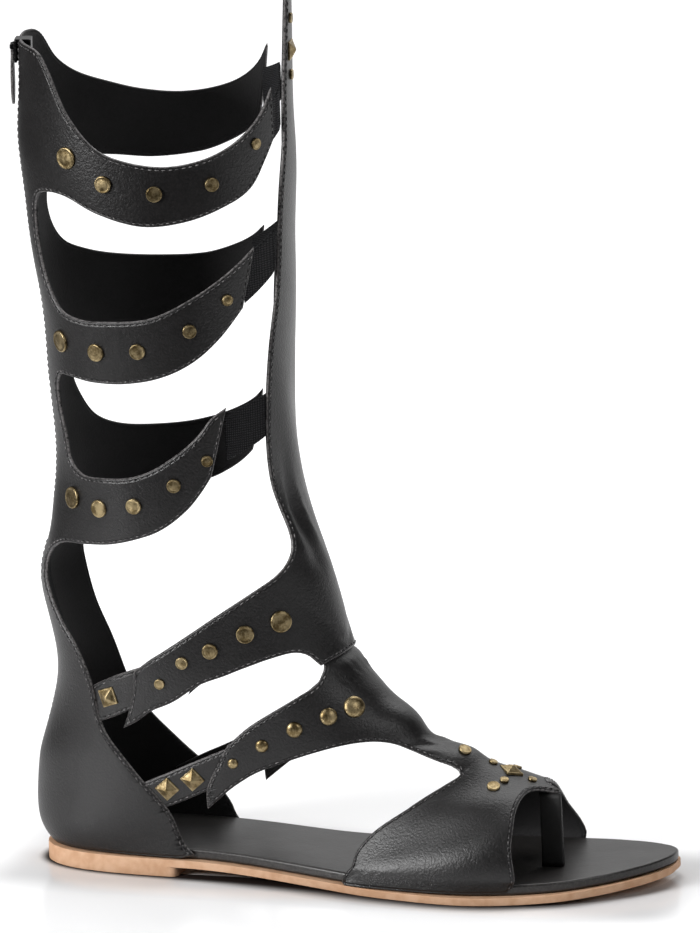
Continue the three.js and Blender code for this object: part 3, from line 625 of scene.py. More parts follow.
outer_toe = [(84.5, 14.62), (92, 14.58), (102, 14.48), (118, 14.27), (134, 14.04), (147, 13.79), (157, 13.64),
             (166, 13.6), (172, 13.72), (176.5, 14.04), (180, 14.32)]
inner_toe = [(84.5, 14.86), (92, 14.79), (103.5, 14.63), (119, 14.35), (135, 14.13), (149, 13.96),
             (158, 13.8), (166, 13.74), (172, 13.84), (176.5, 14.1), (180, 14.32)]


def instep_folds(turn, row):
    across = turn - 180
    side = np.abs(across)
    seam = -0.5 * bump(row, 7.0, 0.12) * bump(side, 0, 26)
    creases = 0.5 * np.sin(across * 0.9 + row * 9) * bump(row, 7.36, 0.16) * bump(side, 14, 12)
    hollow = -0.6 * bump(row, 8.2, 0.5) * bump(side, 0, 12)
    bend = (-3.4 * bump(row, 10.1, 0.6) + 1.2 * bump(row, 11.35, 0.4)) * bump(side, 0, 24)
    wing = 0.5 * np.sin(across * 0.12 + row * 2.2) * bump(row, 12.9, 0.8)
    place = on_last(turn, row)
    rise = place[:, 2] - sole_level(place[:, 0])
    rolled = -1.3 / (1 + np.exp((rise - 5.0) / 0.45)) * (row > 11.6)
    cross = 0.5 * np.sin(across * 0.35 + row * 6) * bump(row, 10.35, 0.3) * bump(side, 18, 16)
    return seam + creases + hollow + bend + wing + rolled + cross


def instep_lift(turn, row):
    tucked = -2.1 * (1 / (1 + np.exp((row - 7.1) / 0.03))) * bump(turn, 180, 40)
    tail = 1.2 * (1 / (1 + np.exp(-(np.abs(turn - 180) - 68) / 3))) * (row < 10.5)
    return tucked + tail


outer_wing = [(360 - abs(t), r) for t, r in sole_line(1, 12.6, 14.62, 26)]
inner_wing = sole_line(1, 12.6, 14.86, 26)
leather(
    "instep_and_vamp",
    [
        front(outer_tuck[::-1]),
        front(outer_instep),
        front([outer_instep[-1], (99, 9.12)]),
        front([(99, 9.12), (95.5, 9.62)]),
        front([(95.5, 9.62), outer_tail[0]]),
        front(outer_tail),
        [front(outer_tail)[-1]] + outer_wing[1:-1] + [front(outer_toe)[0]],
        front(outer_toe),
        inner_toe[::-1],
        [inner_toe[0]] + inner_wing[1:-1][::-1] + [inner_tail[-1]],
        inner_tail[::-1],
        [inner_tail[0], (95.5, 9.95)],
        [(95.5, 9.95), (99, 9.45)],
        [(99, 9.45), inner_instep[-1]],
        inner_instep[::-1],
        inner_tuck,
    ],
    lift=instep_lift,
    folds=instep_folds,
    plain=(0, 6, 9, 15),
)

# Heel straps: two short straps on each side, sewn under the counter, that end under the tails.
# They are single strips of the same leather, a little thinner and lower than the tails.
STRAPS = {
    "upper": [(54, 7.06, 7.52), (68, 6.94, 7.46), (80, 6.86, 7.34), (97, 6.76, 7.1)],
    "lower": [(78, 8.72, 9.32), (90, 8.58, 9.29), (98, 8.47, 9.22), (108, 8.34, 9.1)],
}
for side, label, drop in ((-1, "outer", 0), (1, "inner", 0.3)):
    for place, rows in STRAPS.items():
        top = [(side * t, a + drop) for t, a, _ in rows]
        low = [(side * t, b + drop) for t, _, b in rows]
        root = abs(top[0][0])

        def strap_lift(turn, row, root=root):
            return -0.75 - 0.9 * bump(np.abs(turn), root, 7)

        leather(
            f"heel_strap_{label}_{place}",
            [top, [top[-1], low[-1]], low[::-1], [low[0], top[0]]],
            thick=1.7,
            lift=strap_lift,
        )

# Elastic gores: ribbed black elastic that joins the shaft straps' tips to the shin panel.
# Their ends are sewn under the leather, so they stand lower than it.
GORES = {
    "outer_1": (-1, [(160, 1.3, 1.76), (176, 1.14, 1.56)]),
    "outer_2": (-1, [(146, 2.88, 3.35), (168, 2.68, 3.12)]),
    "outer_3": (-1, [(131, 4.31, 4.7), (160, 4.2, 4.54)]),
    "inner_1": (1, [(126, 1.2, 1.68), (142, 1.1, 1.46)]),
    "inner_2": (1, [(116, 3.12, 3.54), (136, 2.86, 3.24)]),
    "inner_3": (1, [(112, 4.6, 4.89), (134, 4.36, 4.66)]),
}
elastic, shader, where = finish("black_elastic", Specular_IOR_Level=0.25)
ribs = where.node("ShaderNodeTexWave", {"wave_type": "BANDS", "bands_direction": "Z"},
                  Vector=where, Scale=330.0, Distortion=0.6)
weave = where.node("ShaderNodeTexWave", {"wave_type": "BANDS", "bands_direction": "X"},
                   Vector=where, Scale=480.0, Distortion=1.0)
drive(shader, Base_Color=(ribs * weave).ramp(0.1, 0.7).mix((0.006, 0.006, 0.007), (0.03, 0.03, 0.032)),
      Roughness=0.75 + ribs * 0.1,
      Normal=where.node("ShaderNodeBump", Strength=0.7, Distance=0.0005, Height=ribs * 0.6 + weave * 0.4))
for label, (side, rows) in GORES.items():
    (t0, a0, b0), (t1, a1, b1) = rows
    gore = leather(
        f"gore_{label}",
        [[(side * t0, a0), (side * t1, a1)], [(side * t1, a1), (side * t1, b1)],
         [(side * t1, b1), (side * t0, b0)], [(side * t0, b0), (side * t0, a0)]],
        thick=1.2,
        lift=lambda turn, row: np.full(len(turn), -0.9),
        material=elastic,
    )
    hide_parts(f"gore_{label}")


# Bottom: a tan rubber outsole and heel block, and a leather-covered insole board with a soft edge.
# Each layer follows the last's outline and the rise and fall of the ground below the arch and toe.
FEATHER_LEVEL, LAYER_MESH = 10.0, 5.0


def outline_at(row, inset):
    """Where a row of the last crosses the level of the feather edge: x, both sides' y, and fullness."""
    r = last_row(row)
    span = np.hypot(r["front_x"] - r["back_x"], r["front_z"] - r["back_z"])
    along = (FEATHER_LEVEL - r["back_z"]) * span / (r["front_z"] - r["back_z"])
    ahead = along > r["middle"] * span
    reach = np.where(ahead, 1 - r["middle"], r["middle"]) * span - inset
    share = np.minimum(np.abs(along - r["middle"] * span) / reach, 1)
    power = np.where(ahead, r["front_power"], r["back_power"])
    swell = np.maximum(1 - share**power, 0) ** (1 / power)
    x = r["back_x"] + (r["front_x"] - r["back_x"]) * along / span
    return x, r["aside"] - (r["outer"] - inset) * swell, r["aside"] + (r["inner"] - inset) * swell, swell


def bottom_ring(inset, end_x):
    """The layer's outline as points about 2 mm apart."""
    rows = np.linspace(8, 20, 2400)
    x, out, inn, swell = outline_at(rows, inset)
    keep = (swell > 0.05) & (x < end_x)
    ring = np.vstack([np.stack([x, out], 1)[keep], np.stack([x, inn], 1)[keep][::-1]])
    ring = ring[np.concatenate([[True], np.linalg.norm(np.diff(ring, axis=0), axis=1) > 1e-4])]
    closed = np.vstack([ring, ring[:1]])
    length = length_along(closed)
    marks = np.linspace(0, length[-1], int(length[-1] / 2), endpoint=False)
    ring = np.stack([np.interp(marks, length, closed[:, k]) for k in (0, 1)], 1)
    for _ in range(2):
        ring = ring * 0.5 + (np.roll(ring, 1, 0) + np.roll(ring, -1, 0)) * 0.25
    return ring


def soften(obj, edge, segments, angle):
    """Rounds the edges of a mesh whose faces meet at more than that angle; edge in mm."""
    rounding = obj.modifiers.new("rounding", "BEVEL")
    rounding.width = edge / 1000
    rounding.segments = segments
    rounding.limit_method = "ANGLE"
    rounding.angle_limit = math.radians(angle)
    rounding.harden_normals = True


def bottom_layer(name, inset, lower, upper, end_x, edge, material):
    """A layer between two heights along x, inside the last's outline less the inset, back to front."""
    ring = bottom_ring(inset, end_x)
    count = len(ring)
    low, high = ring.min(0), ring.max(0)
    ahead, across = (np.arange(low[k], high[k], LAYER_MESH) for k in (0, 1))
    lattice = np.array([(a, b) for a in ahead for b in across])
    from_edge = distance_to(np.pad(ring, ((0, 0), (0, 1))), np.pad(lattice, ((0, 0), (0, 1))))
    lattice = lattice[from_edge > 4]
    flat = [Vector(p) for p in np.vstack([ring, lattice])]
    rim = [(i, (i + 1) % count) for i in range(count)]
    verts, _, faces, _, _, _ = geometry.delaunay_2d_cdt(flat, rim, [], 1, 1e-4)
    at = np.array([tuple(v) for v in verts])
    n = len(at)
    top = np.column_stack([at, upper(at[:, 0])])
    under = np.column_stack([at, lower(at[:, 0])])
    bottom = [tuple(n + i for i in face[::-1]) for face in faces]
    sides = [(i, j, n + j, n + i) for i, j in rim]
    obj = add_mesh(name, np.vstack([top, under]), list(faces) + bottom + sides, material)
    work = bmesh.new()
    work.from_mesh(obj.data)
    bmesh.ops.recalc_face_normals(work, faces=work.faces)
    work.to_mesh(obj.data)
    work.free()
    soften(obj, edge, 3, 40)
    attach(obj, "sandal")
    return obj


tan_rubber, shader, where = finish("tan_rubber", Specular_IOR_Level=0.3)
streaks = where.node("ShaderNodeTexNoise", Vector=where, Scale=260.0, Detail=3.0)
broad = where.node("ShaderNodeTexNoise", Vector=where, Scale=30.0, Detail=2.0)
tint = (streaks * 0.5 + broad * 0.5).ramp(0.35, 0.65)
drive(shader, Base_Color=tint.mix((0.54, 0.31, 0.18), (0.66, 0.42, 0.27)),
      Roughness=0.55 + streaks * 0.2,
      Normal=where.node("ShaderNodeBump", Strength=0.2, Distance=0.0002, Height=streaks))

insole_finish = black_leather("insole_leather", (0.017, 0.0155, 0.015), 0.36, 0.35, cut=False)

PAST_TOE = 240
HEEL_TOP = 5.5
outsole = bottom_layer("outsole_visual", -0.4, ground, lambda x: ground(x) + OUTSOLE, PAST_TOE, 0.3,
                       tan_rubber)
heel_block = bottom_layer("heel_visual", -0.38, lambda x: 0 * x, lambda x: 0 * x + HEEL_TOP, BREAST, 0.3,
                          tan_rubber)
insole = bottom_layer("insole_visual", 2.3, lambda x: ground(x) + OUTSOLE + INSOLE_GAP,
                      lambda x: ground(x) + OUTSOLE + INSOLE_GAP + INSOLE, PAST_TOE, 1.1,
                      insole_finish)
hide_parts("outsole")
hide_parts("heel")
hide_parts("insole")

# Stitches: one row of short thread stitches close to every cut edge of the leather.
# Each is a low bead laid along the edge on the outer face; all of a piece's stitches are one mesh.
STITCH = np.array([
    (-1, 0, -0.2), (1, 0, -0.2),
    (-0.6, -1, -0.3), (-0.6, -0.5, 1), (-0.6, 0.5, 1), (-0.6, 1, -0.3),
    (0.6, -1, -0.3), (0.6, -0.5, 1), (0.6, 0.5, 1), (0.6, 1, -0.3),
]) * (0.95, 0.24, 0.26)
STITCH_FACES = [(2, 3, 7, 6), (3, 4, 8, 7), (4, 5, 9, 8), (5, 2, 6, 9), (0, 3, 2), (0, 4, 3), (0, 5, 4),
                (0, 2, 5), (1, 6, 7), (1, 7, 8), (1, 8, 9), (1, 9, 6)]


def joined(name, points, faces, frames, material):
    """One mesh of many copies of a small form; each frame is (place, x, y, z), all in mm."""
    copies = [p + points[:, :1] * x + points[:, 1:2] * y + points[:, 2:] * z for p, x, y, z in frames]
    n = len(points)
    all_faces = [tuple(k * n + i for i in face) for k in range(len(copies)) for face in faces]
    return add_mesh(name, np.vstack(copies), all_faces, material)


def on_skin(name, turn, row):
    """Place on a piece's outer face, and the last's normal there."""
    turn, row = np.atleast_1d(turn).astype(float), np.atleast_1d(row).astype(float)
    skin = skins[name]
    place, _, _, normal = last_frame(turn, row)
    return place + normal * (skin["height"](turn, row) + skin["thick"] / 2)[:, None], normal


thread_finish, shader, where = finish("thread", Specular_IOR_Level=0.4)
fibres = where.node("ShaderNodeTexNoise", Vector=where, Scale=900.0, Detail=1.0)
drive(shader, Base_Color=fibres.ramp(0.4, 0.65).mix((0.03, 0.028, 0.03), (0.2, 0.19, 0.19)),
      Roughness=0.45 + fibres * 0.2)

STITCH_PITCH = 2.7
stitch_rng = np.random.default_rng(7)
for name, skin in skins.items():
    if name.startswith("gore"):
        continue
    line = skin["loop"] + skin["square"] * SEAM_INSET
    loop_mm = on_last(*skin["loop"].T)
    at, _ = on_skin(name, *line.T)
    clear = skin["sewn"] & (distance_to(loop_mm, on_last(*line.T)) > 1.0)
    closed = np.vstack([at, at[:1]])
    length = length_along(closed)
    frames = []
    for mark in np.arange(0, length[-1], STITCH_PITCH):
        k = int(np.searchsorted(length, mark, side="right") - 1)
        if not clear[k] or not clear[(k + 1) % len(clear)]:
            continue
        share = (mark - length[k]) / max(length[k + 1] - length[k], 1e-6)
        spot = line[k] + (line[(k + 1) % len(line)] - line[k]) * share
        p, normal = on_skin(name, *spot)
        along = closed[k + 1] - closed[k]
        along /= np.linalg.norm(along)
        along += stitch_rng.normal(0, 0.04, 3)
        aside = np.cross(normal[0], along)
        frames.append((p[0], along, aside / np.linalg.norm(aside), normal[0]))
    thread = joined(f"stitches_{name}", STITCH, STITCH_FACES, frames, thread_finish)
    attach(thread, "sandal")

# Studs: pressed antique-brass caps clenched through the leather, in rows of falling size.
# The shaft's are flat with a rolled rim, the instep's are domed, and pyramids are square.
STUD_ROWS = {
    "stud_calf": [(-67, 1.75, 8.9), (-84, 2.01, 7), (-104, 2.1, 6.5), (-129, 2.02, 5.8), (-153, 1.63, 4.7)],
    "stud_mid": [(-49, 3.73, 8.9), (-72, 3.77, 7.3), (-92, 3.73, 6.5), (-116, 3.54, 5.7), (-135, 3.28, 4.7)],
    "stud_low": [(-47, 5.14, 8.9), (-67, 5.19, 7.3), (-85, 5.12, 6.5), (-103, 4.9, 5.7), (-120, 4.68, 4.7)],
    "stud_ankle": [(269, 7.01, 4.3), (261, 6.8, 5.1), (251, 6.71, 6.4), (237, 6.58, 7.3), (221, 6.5, 8.8)],
    "stud_instep": [(252, 8.69, 4.3), (243, 8.47, 5.3), (232, 8.28, 6.5), (219, 8.18, 7.1), (207, 8.13, 8.8)],
    "stud_vamp": [(158, 12.7, 5.4), (167, 12.74, 3.7), (180, 12.06, 3.7), (180, 13.38, 3.7),
                  (193, 12.74, 3.7),
                  (202, 12.7, 5.4), (186, 11.2, 5.4)],
}
SMALL_CAPS = {"stud_top_pair": [(172, 0.77, 4.2), (172, 1.095, 4.2)]}
INNER_ROWS = {
    "stud_calf_inner": [(62, 1.85, 8.9), (78, 1.93, 7), (94, 1.86, 6.5), (108, 1.68, 5.8), (120, 1.45, 4.7)],
    "stud_mid_inner": [(42, 3.62, 8.9), (62, 3.65, 7.3), (82, 3.61, 6.5), (98, 3.5, 5.7), (111, 3.3, 4.7)],
    "stud_low_inner": [(44, 5.18, 8.9), (62, 5.15, 7.3), (80, 5.06, 6.5), (94, 4.95, 5.7), (106, 4.76, 4.7)],
    "stud_ankle_inner": [(92, 7.36, 4.3), (100, 7.2, 5.1), (110, 7.0, 6.4), (122, 6.82, 7.3),
                         (134, 6.6, 8.8)],
    "stud_instep_inner": [(108, 9.0, 4.3), (116, 8.8, 5.3), (128, 8.5, 6.5), (140, 8.36, 7.1),
                          (149, 8.26, 8.8)],
}
HOME = {"calf": "back_panel", "mid": "back_panel", "low": "back_panel", "ankle": "shin_panel",
        "instep": "instep_and_vamp", "vamp": "instep_and_vamp", "top": "shin_panel"}
AROUND = 28
RIM_RISE = 0.95
FLAT_CAP = [(1.0, -0.1), (1.0, 0.5), (0.97, 0.78), (0.91, 0.9), (0.84, 0.88), (0.77, 0.82), (0.6, 0.88),
            (0.3, 0.97)]
DOME_CAP = [(1.0, -0.06), (1.0, 0.16), (0.97, 0.3), (0.88, 0.5), (0.74, 0.69), (0.55, 0.84), (0.35, 0.94),
            (0.18, 0.985)]


def cap_mesh(profile, sides):
    """A cap of unit radius and height from its profile of radii and heights."""
    angles = np.arange(sides) * 2 * np.pi / sides + (np.pi / 4 if sides == 4 else 0)
    points = [(r * math.cos(a), r * math.sin(a), h) for r, h in profile for a in angles] + [(0, 0, 1)]
    faces = []
    for ring in range(len(profile) - 1):
        for i in range(sides):
            j = (i + 1) % sides
            faces.append((ring * sides + i, ring * sides + j, (ring + 1) * sides + j, (ring + 1) * sides + i))
    last = (len(profile) - 1) * sides
    faces += [(last + i, last + (i + 1) % sides, len(points) - 1) for i in range(sides)]
    faces.append(tuple(range(sides))[::-1])
    return np.array(points), faces


def seat_axes(turn, row, spin=0.0):
    """Across, up and outward directions of a fitting on the leather, turned in its seat by spin."""
    place, by_turn, by_row, normal = last_frame(np.array([float(turn)]), np.array([float(row)]))
    side = by_turn[0] / np.linalg.norm(by_turn[0])
    up_way = np.cross(normal[0], side)
    c, s = math.cos(spin), math.sin(spin)
    return side * c + up_way * s, up_way * c - side * s, normal[0]


brass, shader, where = finish("antique_brass", Metallic=1.0)
cloud = where.node("ShaderNodeTexNoise", Vector=where, Scale=330.0, Detail=4.0)
wear = where.node("ShaderNodeTexNoise", Vector=where, Scale=1400.0, Detail=2.0)
aged = (cloud * 0.7 + wear * 0.3).ramp(0.38, 0.62)
drive(shader, Base_Color=aged.mix((0.15, 0.108, 0.05), (0.4, 0.315, 0.175)),
      Roughness=0.28 + cloud * 0.25,
      Normal=where.node("ShaderNodeBump", Strength=0.15, Distance=0.0002, Height=wear))

for label, row_of_studs in {**STUD_ROWS, **SMALL_CAPS, **INNER_ROWS}.items():
    kind = label.split("_")[1]
    domed = kind == "instep"
    points, faces = cap_mesh(DOME_CAP if domed else FLAT_CAP, AROUND)
    frames = []
    for turn, row, across in row_of_studs:
        p, _ = on_skin(HOME[kind], turn, row)
        x, y, z = seat_axes(turn, row)
        rise = across * 0.25 if domed else RIM_RISE + across * 0.03
        frames.append((p[0], x * across / 2, y * across / 2, z * rise))
    studs = joined(f"caps_{label}", points, faces, frames, brass)
    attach(studs, "sandal")
    if label in STUD_ROWS:
        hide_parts(*[f"{label}_{i + 1}" for i in range(len(row_of_studs))])

# Pyramid studs: square pressed caps with a flat flange, in the same brass, clenched like the round ones.
# Three are on each pair of heel straps, one on the vamp and one at the top of the shin panel.
PYRAMID = [(1.0, -0.2), (1.0, 0.16), (0.95, 0.24), (0.86, 0.24), (0.82, 0.29), (0.12, 0.97)]
PYRAMIDS = [
    ("pyramid_heel_outer_1", "heel_strap_outer_upper", -68.5, 7.15, 7.2, 0.2),
    ("pyramid_heel_outer_2", "heel_strap_outer_lower", -90.5, 8.88, 7.2, 0.42),
    ("pyramid_heel_outer_3", "heel_strap_outer_lower", -96.8, 8.83, 7.2, 0.42),
    ("pyramid_heel_inner_1", "heel_strap_inner_upper", 70, 7.44, 7.2, -0.2),
    ("pyramid_heel_inner_2", "heel_strap_inner_lower", 90.5, 9.18, 7.2, -0.42),
    ("pyramid_heel_inner_3", "heel_strap_inner_lower", 97.5, 9.12, 7.2, -0.42),
    ("pyramid_vamp", "instep_and_vamp", 180, 12.65, 7.4, 0.78),
    ("pyramid_shin", "shin_panel", 172, 0.93, 7.4, 0.0),
]
PYRAMID_RISE = 2.4
points, faces = cap_mesh(PYRAMID, 4)
for node, home, turn, row, side, spin in PYRAMIDS:
    p, _ = on_skin(home, turn, row)
    x, y, z = seat_axes(turn, row, spin)
    half = side / math.sqrt(2)
    pyramid = joined(f"{node}_cap", points, faces, [(p[0], x * half, y * half, z * PYRAMID_RISE)], brass)
    pyramid.data.shade_flat()
    soften(pyramid, 0.22, 2, 15)
    pyramid.modifiers["rounding"].harden_normals = False
    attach(pyramid, "sandal")
    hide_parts(node)

# Zip: a woven tape behind the slot in the back panel, with two rows of moulded teeth on it.
# It runs from the collar to the heel counter, and the slider stands at the top.
tape_rows = (0.88, 1.6, 2.5, 3.5, 4.5, 5.3, 6.2, 7.3, 8.25)
TAPE_HALF, TAPE_SUNK, TEETH_SUNK, TEETH_PITCH = 4.6, 1.15, 1.3, 0.95
tape_left = [(zip_turn(r, -TAPE_HALF), r) for r in tape_rows]
tape_right = [(zip_turn(r, TAPE_HALF), r) for r in tape_rows]
tape_finish, shader, where = finish("zip_tape", Specular_IOR_Level=0.2)
twill = where.node("ShaderNodeTexNoise", Vector=where, Scale=1500.0, Detail=1.0)
drive(shader, Base_Color=twill.ramp(0.3, 0.7).mix((0.006, 0.006, 0.006), (0.02, 0.02, 0.021)),
      Roughness=0.8 + twill * 0.1)
leather(
    "zip_tape",
    [tape_left, [tape_left[-1], tape_right[-1]], tape_right[::-1], [tape_right[0], tape_left[0]]],
    thick=0.6,
    lift=lambda turn, row: np.full(len(turn), -TAPE_SUNK),
    folds=back_folds,
    material=tape_finish,
)
line = np.array([(zip_turn(r, 0), r) for r in np.arange(0.96, 8.22, 0.004)])
length = length_along(on_last(*line.T))
frames = []
for k, mark in enumerate(np.arange(0, length[-1], TEETH_PITCH)):
    turn, row = (np.interp(mark, length, line[:, j]) for j in (0, 1))
    x, y, z = seat_axes(turn, row)
    aside = 1 if k % 2 else -1
    seat = on_last(turn, row) + x * aside * 0.85 + z * (back_folds(turn, row) - TEETH_SUNK)
    frames.append((seat, x * 1.35, y * 2.0, z * 1.9))
teeth = joined("zip_teeth", STITCH, STITCH_FACES, frames, tape_finish)
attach(teeth, "sandal")
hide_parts("zip_coil")

# Slider and pull: a cast slider of blackened metal, whose neck and lower half reach round the tape,
# and a leather leaf that swings on the pin between its two lugs. Edges are softened.
at = on_last(-14.0, 0.94)
level = on_last(-14.0, 0.89) - on_last(-14.0, 0.99)
level /= np.linalg.norm(level)
around = on_last(-13.0, 0.94) - on_last(-15.0, 0.94)
out = np.cross(level, around)
out /= np.linalg.norm(out)
out *= np.sign(out @ (at - np.array([20.0, 0.0, at[2]])))
side = np.cross(level, out)
side /= np.linalg.norm(side)
level = np.cross(out, side)
seat_at = at + out * 0.3
PIN_AT = 2
SLIDER_SEAT = Matrix((
    (side[0], level[0], out[0], seat_at[0]),
    (side[1], level[1], out[1], seat_at[1]),
    (side[2], level[2], out[2], seat_at[2]),
    (0, 0, 0, 1),
))


def finish_work(work, name, body, edge, material, segments=3):
    """A mesh object from work done in the slider's own mm, with softened edges."""
    bmesh.ops.transform(work, matrix=Matrix.Scale(0.001, 4) @ SLIDER_SEAT, verts=work.verts)
    bmesh.ops.recalc_face_normals(work, faces=work.faces)
    mesh = bpy.data.meshes.new(name)
    work.to_mesh(mesh)
    work.free()
    mesh.shade_smooth()
    mesh.materials.append(material)
    obj = add_object(name, mesh)
    soften(obj, edge, segments, 35)
    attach(obj, body)
    return obj


def add_slab(work, size, centre):
    made = bmesh.ops.create_cube(work, size=1)
    bmesh.ops.scale(work, vec=size, verts=made["verts"])
    bmesh.ops.translate(work, vec=centre, verts=made["verts"])
    return made["verts"]


dark_metal, shader, where = finish("blackened_metal", Metallic=0.6, Specular_IOR_Level=0.5)
scratch = where.node("ShaderNodeTexNoise", Vector=where, Scale=800.0, Detail=2.0)
drive(shader, Base_Color=scratch.ramp(0.45, 0.75).mix((0.006, 0.006, 0.007), (0.03, 0.028, 0.027)),
      Roughness=0.25 + scratch * 0.2)

work = bmesh.new()
plate = add_slab(work, (8.4, 9, 1.2), (0, 0, 0.6))
for v in plate:
    if v.co.y < 0:
        v.co.x *= 0.72
add_slab(work, (3.6, 8, 1.4), (0, 0, -0.5))
add_slab(work, (7, 2.6, 6), (0, 3.9, -2.3))
add_slab(work, (7.6, 7, 1.2), (0, 1.6, -5.2))
for aside in (-1, 1):
    lug = add_slab(work, (1.2, 3, 2.9), (aside * 1.9, PIN_AT, 1.45))
    for v in lug:
        if v.co.z > 2:
            v.co.y = PIN_AT + (v.co.y - PIN_AT) * 0.6
slider = finish_work(work, "slider_visual", "sandal", 0.3, dark_metal)
work = bmesh.new()
crosswise = Matrix.Translation((0, PIN_AT, 2.1)) @ Matrix.Rotation(math.pi / 2, 4, "Y")
bmesh.ops.create_cone(work, cap_ends=True, segments=16, radius1=0.45, radius2=0.45, depth=3.0,
                      matrix=crosswise)
pin = finish_work(work, "slider_pin", "sandal", 0.1, dark_metal, 2)
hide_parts("zip_slider")

leaf = [(-1, 0.6), (-1, -4)]
for a, c, b in (((-1, -4), (-4.5, -8), (-4.5, -14.9)), ((-4.5, -14.9), (-4.5, -20.4), (0, -24)),
                ((0, -24), (4.5, -20.4), (4.5, -14.9)), ((4.5, -14.9), (4.5, -8), (1, -4))):
    for u in np.linspace(0.1, 1, 10):
        leaf.append(tuple((1 - u) ** 2 * np.array(a) + 2 * u * (1 - u) * np.array(c) + u * u * np.array(b)))
leaf.append((1, 0.6))
work = bmesh.new()
lower = [work.verts.new((x, y + PIN_AT, 1.5)) for x, y in leaf]
upper = [work.verts.new((x, y + PIN_AT, 2.7)) for x, y in leaf]
work.faces.new(lower)
work.faces.new(upper[::-1])
for i in range(len(leaf)):
    j = (i + 1) % len(leaf)
    work.faces.new((lower[i], upper[i], upper[j], lower[j]))
pull = finish_work(work, "pull_visual", "pull", 0.35, leather_finish)
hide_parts("zip_pull")

# Toe post: a band of leather folded in two, glued into the insole and sewn under the vamp's tip.
# It leans slightly and its two plies part a little at the front edge.
POST_FOOT, POST_TOP = np.array([184.7, -7.0, 0.0]), np.array([182.0, -0.9, 37.2])
post_base = ground(POST_FOOT[0]) + OUTSOLE + INSOLE_GAP + INSOLE + 0.1
points, faces = [], []
LEVELS, RIM = 14, 24
for thick, aside, width in ((1.15, -0.68, 9.0), (1.15, 0.68, 8.6)):
    start = len(points)
    for k in range(LEVELS + 1):
        v = k / LEVELS
        centre = POST_FOOT + (POST_TOP - POST_FOOT) * v**1.1
        centre[2] = post_base + (POST_TOP[2] - post_base) * v
        flare = 0.5 * (1 - v) ** 6 * (1 if aside > 0 else -1)
        for i in range(RIM):
            a = 2 * math.pi * i / RIM
            ca, sa = math.cos(a), math.sin(a)
            u = math.copysign(abs(ca) ** 0.22, ca) * width / 2
            w = math.copysign(abs(sa) ** 0.6, sa) * thick / 2
            bow = 0.25 * math.sin(math.pi * v) * math.cos(u * 0.35)
            points.append(centre + np.array([u, aside + flare + w + bow, 0]))
    for k in range(LEVELS):
        for i in range(RIM):
            a, b = start + k * RIM + i, start + k * RIM + (i + 1) % RIM
            faces.append((a, b, b + RIM, a + RIM))
    faces.append(tuple(start + i for i in range(RIM))[::-1])
    faces.append(tuple(start + LEVELS * RIM + i for i in range(RIM)))
# Painted shade: the post is the upper's black leather with half its colour, darker for the shade inside the
# toe opening.
post_shaded_finish = black_leather("toe_post_shaded_leather", (0.0025, 0.0023, 0.0023), 0.5, 0.3, cut=False)
post = add_mesh("post_visual", points, faces, post_shaded_finish)
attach(post, "sandal")
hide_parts("toe_post")

# Floor: a sheet of white paper on a dark table, as in a studio picture, pale all round the shoe.
# Its emission is painted light: it glows more away from the shoe, so the far floor stays white while
# the floor by the sole keeps its shade. Past the picture's left side and foot it grows dark, so
# that the leather mirrors the dark there.
paper, shader, where = finish("white_floor_painted_glow", Specular_IOR_Level=0.5, Roughness=0.16, Emission_Strength=1.0)
half = where.node("ShaderNodeVectorMath", {"operation": "ABSOLUTE"}, i0=where.node(
    "ShaderNodeVectorMath", {"operation": "SUBTRACT"}, i0=where, i1=(0.1, 0.0, 0.0)))
beyond = where.node("ShaderNodeVectorMath", {"operation": "MAXIMUM"}, i1=(0.0, 0.0, 0.0), i0=where.node(
    "ShaderNodeVectorMath", {"operation": "SUBTRACT"}, i0=half, i1=(0.13, 0.035, 0.0)))
away = where.node("ShaderNodeVectorMath", {"operation": "LENGTH"}, output=1, i0=beyond)
slant = where.node("ShaderNodeVectorMath", {"operation": "DOT_PRODUCT"}, output=1,
                   i0=where, i1=(1.0, 0.325, 0.0))
nearness = where.node("ShaderNodeSeparateXYZ", output=1, Vector=where)
pool = slant.ramp(-0.8, -0.08) * nearness.ramp(-0.5, -0.17)
# Painted light: the emission is none beside the sole and rises over 40 cm away from it.
glow = (away.ramp(0.0, 0.03) * 0.5 + away.ramp(0.03, 0.4) * 0.5) * pool
drive(shader, Base_Color=pool.mix((0.03, 0.03, 0.03), (0.88, 0.88, 0.89)),
      Emission_Color=glow.mix((0.0, 0.0, 0.0), (0.7, 0.7, 0.7)))
corners = [(-3000, -300, 0), (3500, -300, 0), (3500, 6000, 0), (-3000, 6000, 0)]
floor = add_mesh("floor", corners, [(0, 1, 2, 3)], paper)

# Contact shade: the soft dark line below the sole, on rings round its outline that fade outwards.
# It is widest under the ball of the foot and faint below the toe, which stands off the floor.
ring = bottom_ring(-0.4, PAST_TOE)
along = np.roll(ring, -1, 0) - np.roll(ring, 1, 0)
beside = np.stack([along[:, 1], -along[:, 0]], 1) / np.linalg.norm(along, axis=1)[:, None]
if np.sum((ring - ring.mean(0)) * beside) < 0:
    beside = -beside
reach = (4.5 + 9 * bump(ring[:, 0], 120, 70))[:, None] * (1 - 0.5 * np.clip(ring[:, 1:] / 20, 0, 1))
depth = 1 - 0.85 * np.clip((ring[:, 0] - 165) / 50, 0, 1)
OVER_FLOOR = 0.15
SHADE = [(-0.8, 0.88), (0.0, 0.88), (0.2, 0.66), (0.45, 0.34), (0.7, 0.12), (1.0, 0.0)]
rings = [np.column_stack([ring + beside * reach * k, np.full(len(ring), OVER_FLOOR)]) for k, _ in SHADE]
points = np.vstack(rings)
n = len(ring)
faces = [(j * n + i, j * n + (i + 1) % n, (j + 1) * n + (i + 1) % n, (j + 1) * n + i)
         for j in range(len(SHADE) - 1) for i in range(n)]
